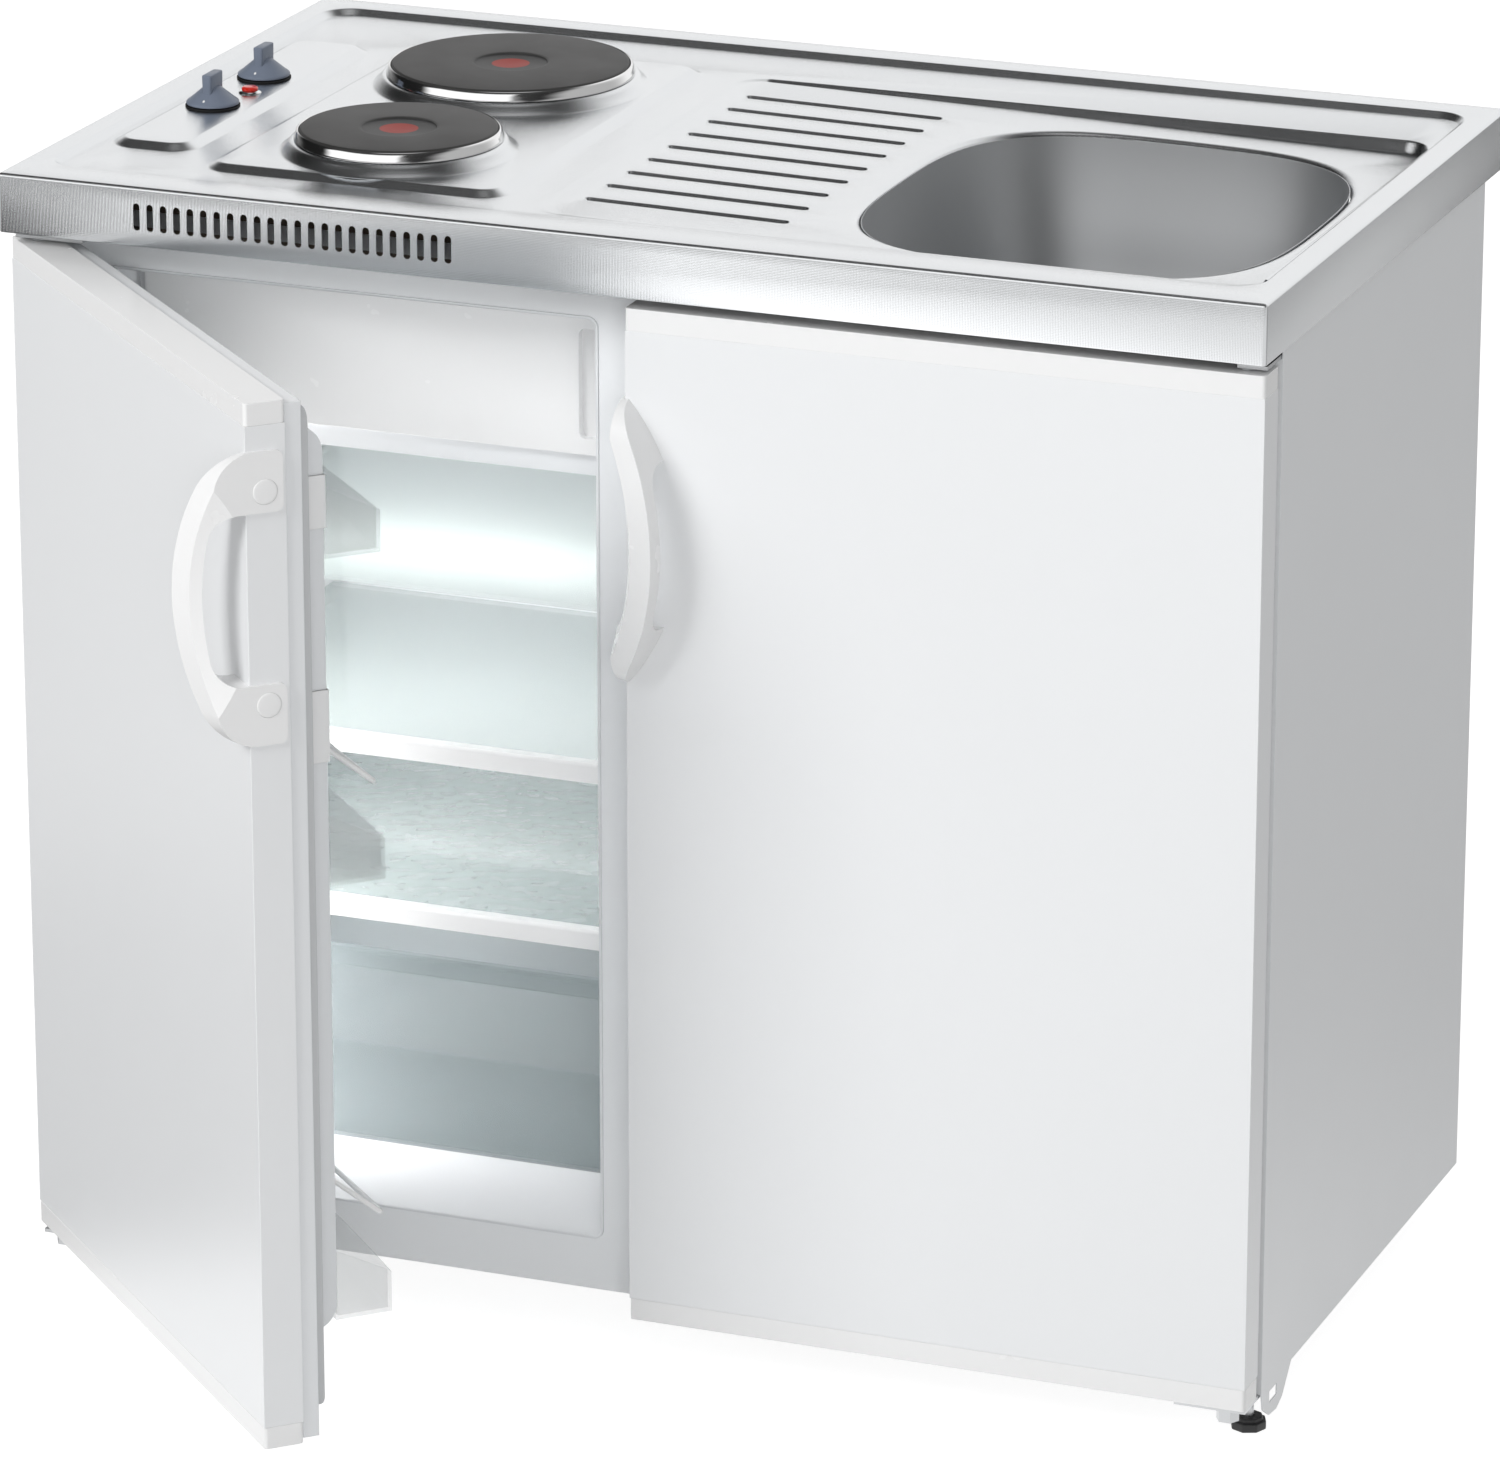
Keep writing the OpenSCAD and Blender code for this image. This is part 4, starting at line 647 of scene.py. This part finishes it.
# %% Worktop pressing
level = {"rim": lambda x, y: RIM, "deck": lambda x, y: DECK, "panel": lambda x, y: PANEL,
         "wet": wet_level}
walls = {"deck": wall(DECK_BOX, level["deck"], level["rim"], 7.0),
         "hob": wall(HOB_BOX, level["panel"], level["deck"], 11.0),
         "knob": wall(KNOB_BOX, level["panel"], level["deck"], 11.0),
         "wet": wall(WET_BOX, level["wet"], level["deck"], 7.0)}
parts = [loft(rings) for rings in walls.values()]

# The folded edge and the skirt: from the rim round a small bend, down, and in under
fold = [(-BEND, RIM), (-1.7, RIM - 0.15), (-0.9, RIM - 0.7), (-0.25, RIM - 1.6), (0.0, RIM - BEND)]
fold_rings = [[(x, y, z) for x, y in grown(OUTER_BOX, offset)] for offset, z in fold]
parts.append(loft(list(reversed(fold_rings))))
parts.append(sheet_between(flat_of(fold_rings[0]), [flat_of(walls["deck"][-1])], level["rim"]))

skirt_rings = [[(x, y, z) for x, y in grown(OUTER_BOX, offset)]
               for offset, z in ((0.0, RIM - BEND), (0.0, SKIRT + 1.2), (-0.4, SKIRT + 0.3),
                                 (-1.2, SKIRT), (-12.0, SKIRT))]
points, faces = loft(skirt_rings)


def on_front(point):
    return point[1] < FRONT_Y + 0.01 and point[2] > SKIRT + 1


# The flat of the skirt's front is left out of the loft and filled in round its air slots
parts.append((points, [face for face in faces if not all(on_front(points[i]) for i in face)]))
front_x = [p[0] for p in skirt_rings[0] if on_front(p)]
left, right = min(front_x), max(front_x)
front = [(left, SKIRT + 1.2), (right, SKIRT + 1.2), (right, RIM - BEND), (left, RIM - BEND)]
SLOTS, SLOT_PITCH, SLOT_HALF, FIRST_SLOT = 24, 11, 2.75, -385
slots = [rounded(x - SLOT_HALF, x + SLOT_HALF, RIM - 33.5, RIM - 12.5, 2.74, 5)
         for x in (FIRST_SLOT + SLOT_PITCH * i for i in range(SLOTS))]
points, faces = sheet_between(front, slots, lambda x, z: 0.0)
parts.append(([(x, FRONT_Y, z) for x, z, _ in points], faces))

# The deck between the raised panels and the sunk area
parts.append(sheet_between(flat_of(walls["deck"][0]),
                           [flat_of(walls[k][-1]) for k in ("hob", "knob", "wet")], level["deck"]))
parts.append(sheet_between(flat_of(walls["knob"][0]), [], level["panel"]))

# Collars under the hotplates, as pairs of a reach past the plate and a height over the panel
COLLAR = ((19.5, 0.0), (18.3, 0.15), (17, 0.8), (14.4, 3.2), (12, 5.8), (10.6, 7.5), (9.2, 8.3),
          (7, 8.5), (1.5, 8.5), (1.0, 8.0), (1.0, 6.0))
collar_feet = []
for radius, y0 in PLATES.values():
    rings = [ring_of(radius / MM + reach, PANEL + rise, HOB_X / MM, y0 / MM)
             for reach, rise in COLLAR]
    collar_feet.append(flat_of(rings[0]))
    parts.append(loft(list(reversed(rings))))
parts.append(sheet_between(flat_of(walls["hob"][0]), collar_feet, level["panel"]))
print("worktop pressing", len(parts), "parts")

# %% [markdown]
# ## Drainer grooves
# Nine equal grooves run down the drainer. Each is a stadium outline with a rounded wall down
# to a narrow floor. The loft is written once, and Geometry Nodes repeat it further down.

# %% Groove outline and sink lip
GROOVES, GROOVE_PITCH, GROOVE_HALF = 9, 41, 3.5
GROOVE_ROWS = [-324 + (i - 4) * GROOVE_PITCH for i in range(GROOVES)]
# Pairs of a step outwards and a drop, from the mouth to the floor
GROOVE_PROFILE = ((1.6, 0.0), (0.9, 0.12), (0.2, 0.7), (-0.6, 1.7), (-1.6, 2.5), (-2.6, 2.8))


def groove_ring(y0, offset, drop):
    half = GROOVE_HALF + offset
    outline = rounded(-69 - offset, 93 + offset, y0 - half, y0 + half, 3.49 + offset, 7)
    return [(x, y, wet_level(x, y) - drop) for x, y in outline]


sink_lip = [[(x, y, wet_level(x, y) - drop) for x, y in bowl_outline(offset)]
            for offset, drop in ((7.0, 0.0), (5.0, 0.25), (3.0, 1.1), (1.4, 2.6), (0.4, 4.8),
                                 (0.0, 8.0))]
parts.append(loft(list(reversed(sink_lip))))
print("sink lip", len(sink_lip), "rings, drainer", len(GROOVE_ROWS), "grooves")
mouths = [flat_of(groove_ring(y0, *GROOVE_PROFILE[0])) for y0 in GROOVE_ROWS]
parts.append(sheet_between(flat_of(walls["wet"][0]), [flat_of(sink_lip[0])] + mouths,
                           level["wet"]))

# %% Make the sheet
worktop = piece("worktop_sheet", *merge(*parts), worktop_steel, "cabinet", "steel", smooth=38.0)
shape = bmesh.new()
shape.from_mesh(worktop.data)
top = max(shape.faces, key=lambda f: f.calc_center_median().z)
if top.normal.z < 0:
    bmesh.ops.reverse_faces(shape, faces=shape.faces)
shape.to_mesh(worktop.data)
shape.free()
print("worktop sheet", len(worktop.data.polygons), "faces")

# %% [markdown]
# ## Repeating the grooves with Geometry Nodes
# A mesh line gives one point for each groove, the groove is put on every point, and Realize
# Instances turns the copies into real faces. The count and the pitch are inputs of the tree,
# so another drainer is a change of two numbers.

# %% Geometry Nodes helper


def node_tree(name, **inputs):
    """An empty geometry tree with named number inputs; returns the tree and its two ends."""
    tree = bpy.data.node_groups.new(name, "GeometryNodeTree")
    tree.interface.new_socket("Geometry", in_out="INPUT", socket_type="NodeSocketGeometry")
    for key, kind in inputs.items():
        tree.interface.new_socket(key, in_out="INPUT", socket_type=kind)
    tree.interface.new_socket("Geometry", in_out="OUTPUT", socket_type="NodeSocketGeometry")
    return tree, tree.nodes.new("NodeGroupInput"), tree.nodes.new("NodeGroupOutput")


def repeat_along(name, thing, count, step, start, finish):
    """Copies of a mesh object at count places from start, each step further."""
    tree, ends_in, ends_out = node_tree(name, Count="NodeSocketInt", Step="NodeSocketVector",
                                        Start="NodeSocketVector")
    line = tree.nodes.new("GeometryNodeMeshLine")
    line.mode = "OFFSET"
    place = tree.nodes.new("GeometryNodeInstanceOnPoints")
    real = tree.nodes.new("GeometryNodeRealizeInstances")
    paint = tree.nodes.new("GeometryNodeSetMaterial")
    paint.inputs["Material"].default_value = finish.material
    link = tree.links.new
    link(ends_in.outputs["Count"], line.inputs["Count"])
    link(ends_in.outputs["Step"], line.inputs["Offset"])
    link(ends_in.outputs["Start"], line.inputs["Start Location"])
    link(line.outputs["Mesh"], place.inputs["Points"])
    link(ends_in.outputs["Geometry"], place.inputs["Instance"])
    link(place.outputs["Instances"], real.inputs["Geometry"])
    link(real.outputs["Geometry"], paint.inputs["Geometry"])
    link(paint.outputs["Geometry"], ends_out.inputs["Geometry"])
    modifier = thing.modifiers.new(name, "NODES")
    modifier.node_group = tree
    values = {"Count": count, "Step": [v * MM for v in step], "Start": [v * MM for v in start]}
    for item in tree.interface.items_tree:
        if item.in_out == "INPUT" and item.name in values:
            modifier[item.identifier] = values[item.name]
    return bake(thing)


print("repeat_along ready")

# %% Drainer grooves
rings = [groove_ring(0.0, offset, drop) for offset, drop in GROOVE_PROFILE]
points, faces = loft(list(reversed(rings)))
bottom = tuple(range(len(rings[0])))
grooves = piece("drainer_grooves", points, faces + [bottom], worktop_steel, "cabinet", "steel")
repeat_along("groove_rows", grooves, GROOVES, (0, GROOVE_PITCH, 0), (0, GROOVE_ROWS[0], 0),
             worktop_steel)
print("grooves", len(grooves.data.polygons), "faces")

# The grooves become part of the sheet before it gets its thickness
shape = bmesh.new()
shape.from_mesh(worktop.data)
shape.from_mesh(grooves.data)
bmesh.ops.remove_doubles(shape, verts=shape.verts, dist=0.00003)
shape.to_mesh(worktop.data)
shape.free()
bpy.data.objects.remove(grooves)
soften(worktop.data, 38.0)
thick = worktop.modifiers.new("thickness", "SOLIDIFY")
thick.thickness = 0.001
thick.offset = -1.0
bake(worktop)
soften(worktop.data, 38.0)
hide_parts("worktop")
print("worktop", sum(len(p.vertices) - 2 for p in worktop.data.polygons), "triangles")

# %% [markdown]
# ## Pressed steel in the sink
# The bowl is drawn from its own sheet and welded under the rim. Its outline is a
# superellipse, so its sides bulge a little, and further down it draws in. The foot turns
# with a large radius into a floor that falls to the waste.

# %% Sink bowl
BOWL_TOP, LEVELLED = 882.7, 30.0


def bowl_ring(drop, inset, round_off):
    """The outline at a depth, drawn in by inset, and turned towards a circle by round_off."""
    ring = []
    own = min(1.0, drop / LEVELLED)
    for i, (x, y) in enumerate(bowl_outline(-inset)):
        a = 2 * math.pi * i / BOWL_POINTS
        reach = 34.0 + (1 - round_off) * 60
        x = x * (1 - round_off) + (WASTE_X + reach * math.cos(a)) * round_off
        y = y * (1 - round_off) + (WASTE_Y + reach * math.sin(a)) * round_off
        ring.append((x, y, wet_level(x, y) * (1 - own) + (BOWL_TOP - drop) * own))
    return ring


# The wall, the turn at its foot, the floor, and the step that the waste sits in
bowl_profile = [(8.0, 0.0), (14.0, 0.6), (30.0, 3.9), (60.0, 11.0), (90.0, 18.2), (112.0, 23.8)]
foot_drop, foot_inset = bowl_profile[-1]
bowl_rings = [bowl_ring(drop, inset, 0.0) for drop, inset in bowl_profile]
for i in range(1, 9):
    a = math.radians(82 * i / 8)
    bowl_rings.append(bowl_ring(foot_drop + 26.0 * math.sin(a),
                                foot_inset + 34.0 * (1 - math.cos(a)), 0.02 * i))
for t in (0.25, 0.5, 0.72, 0.88, 0.97):
    bowl_rings.append(bowl_ring(137.7 + 3.4 * t, 52.5 + 42.0 * t, 0.16 + 0.84 * t))
for radius, height in ((43.0, 741.6), (38.0, 740.6)):
    bowl_rings.append(ring_of(radius, height, WASTE_X, WASTE_Y, BOWL_POINTS))
bowl = piece("sink_bowl_pressing", *loft(list(reversed(bowl_rings))), bowl_steel, "cabinet",
             "steel", smooth=50.0)
thick = bowl.modifiers.new("thickness", "SOLIDIFY")
thick.thickness = 0.0008
thick.offset = -1.0
bake(bowl)
soften(bowl.data, 50.0)
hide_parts("sink_flange", "sink_bowl", "sink_floor")

# %% [markdown]
# ## Hotplates and their rings
# Turned parts are lathes. The plate's edge is round and hangs over its spill ring, and its
# centre is sunk behind a soft step. The ring is thin rolled steel, polished, and closes the
# gap to the collar.

# %% Hotplates and spill rings


def heights(node):
    """The bottom and the top of a CAD node, in millimetres."""
    return [corner[2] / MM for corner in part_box(node)]


for key, (radius, y0) in PLATES.items():
    node = "hotplate_" + key
    r, hub = radius / MM, SUNK / MM
    low, high = heights(node)
    profile = [(0, high - 1.6), (hub - 2.5, high - 1.6), (hub - 1.4, high - 1.3),
               (hub - 0.6, high - 0.4), (hub + 0.4, high - 0.05), (hub + 2, high), (r + 0.6, high),
               (r + 1.8, high - 0.25), (r + 2.8, high - 1.1), (r + 3.1, high - 2.2),
               (r + 2.8, high - 3.0), (r, high - 3.4), (r, low + 1.0), (r - 1, low), (0, low)]
    plate = piece(node + "_disc", *lathe(profile, HOB_X / MM, y0 / MM, 128), plate_finish[key],
                  "cabinet", "iron", smooth=28.0)
    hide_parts(node)
    node = "spill_ring_" + key
    low, high = heights(node)
    outer = (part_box(node)[1][0] - HOB_X) / MM
    profile = [(r + 2.0, high - 2.6), (r + 3.5, high - 1.0), (r + 3.8, high - 0.2),
               (r + 4.3, high), (r + 5.0, high - 0.4), (r + 5.8, high - 1.8), (r + 6.4, high - 3.6),
               (outer - 0.4, low + 2.0), (outer, low + 0.9), (outer, low + 0.2), (outer - 0.5, low),
               (outer - 1.0, low + 0.3), (outer - 1.4, low + 1.9), (r + 5.2, high - 3.7),
               (r + 4.6, high - 2.2), (r + 2.4, high - 3.0), (r + 2.0, high - 2.6)]
    ring = piece(node + "_rolled", *lathe(profile, HOB_X / MM, y0 / MM, 128), bright_ring,
                 "cabinet", "bright", smooth=50.0)
    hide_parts(node)
    print(node, "outer radius", round(outer, 1), "height", round(high - low, 1))

# %% [markdown]
# ## Knobs and pilot lamp
# Each knob is a cone with a blade for the fingers, moulded in one. A small white dot is painted
# on the front of the cone. The dot is colour only, placed by its distance to a point.

# %% Knobs
KNOBS = {"front": -358.0, "rear": -263.0}
KNOB_X, KNOB_R = -434.0, 20.5
KNOB_GREY = (0.165, 0.195, 0.255)
for key, y0 in KNOBS.items():
    low, high = heights("knob_" + key)
    cone = lathe([(0, low + 13.7), (5.2, low + 13.6), (6.6, low + 13.0), (8.2, low + 11.9),
                  (12.5, low + 8.3), (17, low + 4.5), (19.2, low + 2.9), (20.2, low + 2.1),
                  (KNOB_R, low + 1.3), (20.4, low + 0.4), (19.8, low), (0, low)], KNOB_X, y0)
    top = high - low
    blade = []
    for height, length, width in ((2, 22.2, 7.4), (14, 22.6, 7.7), (top - 0.9, 22.9, 8.0),
                                  (top - 0.3, 22.5, 7.6), (top, 21.6, 6.8)):
        outline = rounded(KNOB_X - width / 2, KNOB_X + width / 2, y0 - length / 2,
                          y0 + length / 2, 1.8, 5)
        blade.append([(x, y, low + height) for x, y in outline])
    finish = plastic("knob_plastic_" + key, KNOB_GREY, 0.34, 0.44)
    x, y, _ = finish.xyz()
    away = ((x - KNOB_X * MM) ** 2.0 + (y - (y0 - 16.5) * MM) ** 2.0) ** 0.5
    dot = finish.add("ShaderNodeMapRange", {}, (away, 0.0008, 0.001, 1.0, 0.0))
    finish.paint(finish.blend(dot, (*KNOB_GREY, 1), (0.8, 0.8, 0.8, 1)))
    knob = piece("knob_moulding_" + key, *merge(cone, loft(blade, capped=True)), finish,
                 key + "_knob", "knob", smooth=42.0)
    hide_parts("knob_" + key)
    print("knob", key, round(top, 1), "mm high")

# %% Pilot lamp
(left, front_y, _), (right, back_y, _) = [[v / MM for v in c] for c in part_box("pilot_lens")]
low, high = heights("pilot_lens")
pilot_x, pilot_y = (left + right) / 2, (front_y + back_y) / 2
wide, head, stem = (right - left) / 2, low + 2.4, 4.0
profile = [(0, high), (wide - 1.8, high - 0.1), (wide - 0.6, high - 0.5), (wide, high - 1.2),
           (wide, head + 0.1), (wide - 0.3, head), (stem, head), (stem, low), (0, low)]
lens = piece("pilot_jewel", *lathe(profile, pilot_x, pilot_y, 48), red_lens, "cabinet", "red",
             smooth=40.0)
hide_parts("pilot_lens")
low, high = heights("pilot_bezel")
left, right = (corner[0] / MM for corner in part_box("pilot_bezel"))
wide, bore, sleeve = (right - left) / 2, 4.2, 5.2
profile = [(bore, high - 1.6), (4.5, high - 0.2), (5.0, high), (wide - 2.2, high),
           (wide - 0.6, high - 0.9), (wide, PANEL + 0.5), (wide - 0.3, PANEL + 0.1),
           (sleeve, PANEL + 0.1), (sleeve, low), (bore, low), (bore, high - 1.6)]
bezel = piece("pilot_ring", *lathe(profile, pilot_x, pilot_y, 48), bright_ring, "cabinet",
              "bright", smooth=45.0)
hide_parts("pilot_bezel")
print("pilot lamp at", round(pilot_x), round(pilot_y))

# %% [markdown]
# ## Softened edges
# Folded sheet and mouldings have no knife edges. `dress` copies a CAD solid, merges its loose
# triangles into flat faces, and lets a Bevel modifier round every edge that turns sharply.
# Weighted normals keep the flats flat up to the new edge. A width of 0 keeps the solid's own
# faces, for round wires and for a liner whose curves are fine enough.

# %% Dressing helper
TURN = 28.0


def dress(node, finish, width, segments):
    """Replaces a CAD node by a copy with a finish and with edges rounded width mm."""
    source = frame["nodes"][node]
    mesh = source.data.copy()
    mesh.name = node + "_piece"
    shape = bmesh.new()
    shape.from_mesh(mesh)
    bmesh.ops.remove_doubles(shape, verts=shape.verts, dist=0.00002)
    if width > 0:
        bmesh.ops.dissolve_limit(shape, angle_limit=math.radians(0.6), verts=shape.verts,
                                 edges=shape.edges)
    shape.to_mesh(mesh)
    shape.free()
    mesh.materials.clear()
    mesh.materials.append(finish.material)
    thing = bpy.data.objects.new(mesh.name, mesh)
    scene.collection.objects.link(thing)
    if width > 0:
        soft = thing.modifiers.new("soft_edges", "BEVEL")
        soft.width = width * MM
        soft.segments = segments
        soft.limit_method = "ANGLE"
        soft.angle_limit = math.radians(TURN)
        soft.miter_outer = "MITER_ARC"
        soft.harden_normals = False
        even = thing.modifiers.new("even_flats", "WEIGHTED_NORMAL")
        even.keep_sharp = False
        even.weight = 80
        mesh.shade_smooth()
        bake(thing)
    else:
        soften(mesh, TURN)
    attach(thing, body_of(source)[0])
    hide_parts(node)


def coat(node, finish):
    """Gives a CAD node that keeps its shape a finish of its own."""
    mesh = frame["nodes"][node].data
    mesh.materials.clear()
    mesh.materials.append(finish.material)


print("dress and coat ready")

# %% Sheet metal and mouldings
# Each row: CAD node, finish, edge width in millimetres and how many segments the edge has
DRESSED = [
    ("fridge_shell", frame_enamel, 0.5, 2), ("fridge_liner", liner_white, 0, 0),
    ("freezer_box", liner_white, 2.0, 3), ("freezer_flap", moulding, 2.2, 3),
    ("shelf_trims", moulding, 1.6, 3), ("thermostat_housing", moulding, 1.5, 2),
    ("thermostat_dial", moulding, 0.8, 2), ("fridge_door_panel", door_enamel, 1.2, 3),
    ("fridge_door_caps", moulding, 1.6, 3), ("fridge_door_liner", liner_white, 2.5, 3),
    ("fridge_door_seal", seal_grey, 1.6, 3), ("rack_brackets", moulding, 1.0, 2),
    ("bottle_wires", moulding, 0, 0), ("fridge_handle_caps", moulding, 0.7, 3),
    ("cupboard_handle_caps", moulding, 0.7, 3), ("cupboard_door_panel", door_enamel, 1.2, 3),
    ("cupboard_door_caps", moulding, 1.6, 3), ("cupboard_door_back", board_white, 0.3, 1),
    ("fridge_handle", moulding, 2.2, 3), ("cupboard_handle", moulding, 2.2, 3),
    ("cupboard_side", side_enamel, 0.5, 2), ("cupboard_divider", frame_enamel, 0.5, 2),
    ("cupboard_floor", side_enamel, 0.4, 1), ("cupboard_back", side_enamel, 0.3, 1),
    ("cupboard_rail", side_enamel, 0.4, 1), ("cupboard_shelf", board_white, 1.0, 2),
    ("feet", black_plastic, 1.2, 2), ("foot_studs", plain_zinc, 0.5, 2),
    ("fridge_hinges", plain_zinc, 0.6, 2), ("cupboard_hinges", plain_zinc, 0.6, 2),
    ("sink_waste", bright_ring, 0.4, 2), ("waste_nut", moulding, 0.8, 2),
    ("knob_seals", black_rubber, 0.4, 2), ("compressor", black_paint, 1.5, 2),
    ("drip_tray", moulding, 1.0, 2), ("machine_tray", plain_zinc, 0.5, 1),
    ("cable_gland", black_rubber, 0.6, 2), ("hob_switches", black_plastic, 0.8, 2),
    ("hotplate_clamps", plain_zinc, 0.5, 1), ("worktop_frame", pine_with_painted_shade, 1.0, 2),
    ("crisper", crisper_clear, 0.7, 2), ("door_racks", rack_clear, 0.6, 2),
    ("fridge_shelves", shelf_glass, 0.6, 2), ("crisper_shelf", rippled_glass, 0.6, 2),
]
COATED = {foam_core: ("fridge_foam", "fridge_door_foam"),
          black_paint: ("condenser", "condenser_feed"),
          plain_zinc: ("hotplate_studs", "spindle_front", "spindle_rear")}
for row in DRESSED:
    dress(*row)
for finish, names in COATED.items():
    for node in names:
        coat(node, finish)
print("dressed", len(DRESSED), "nodes and coated", sum(map(len, COATED.values())))
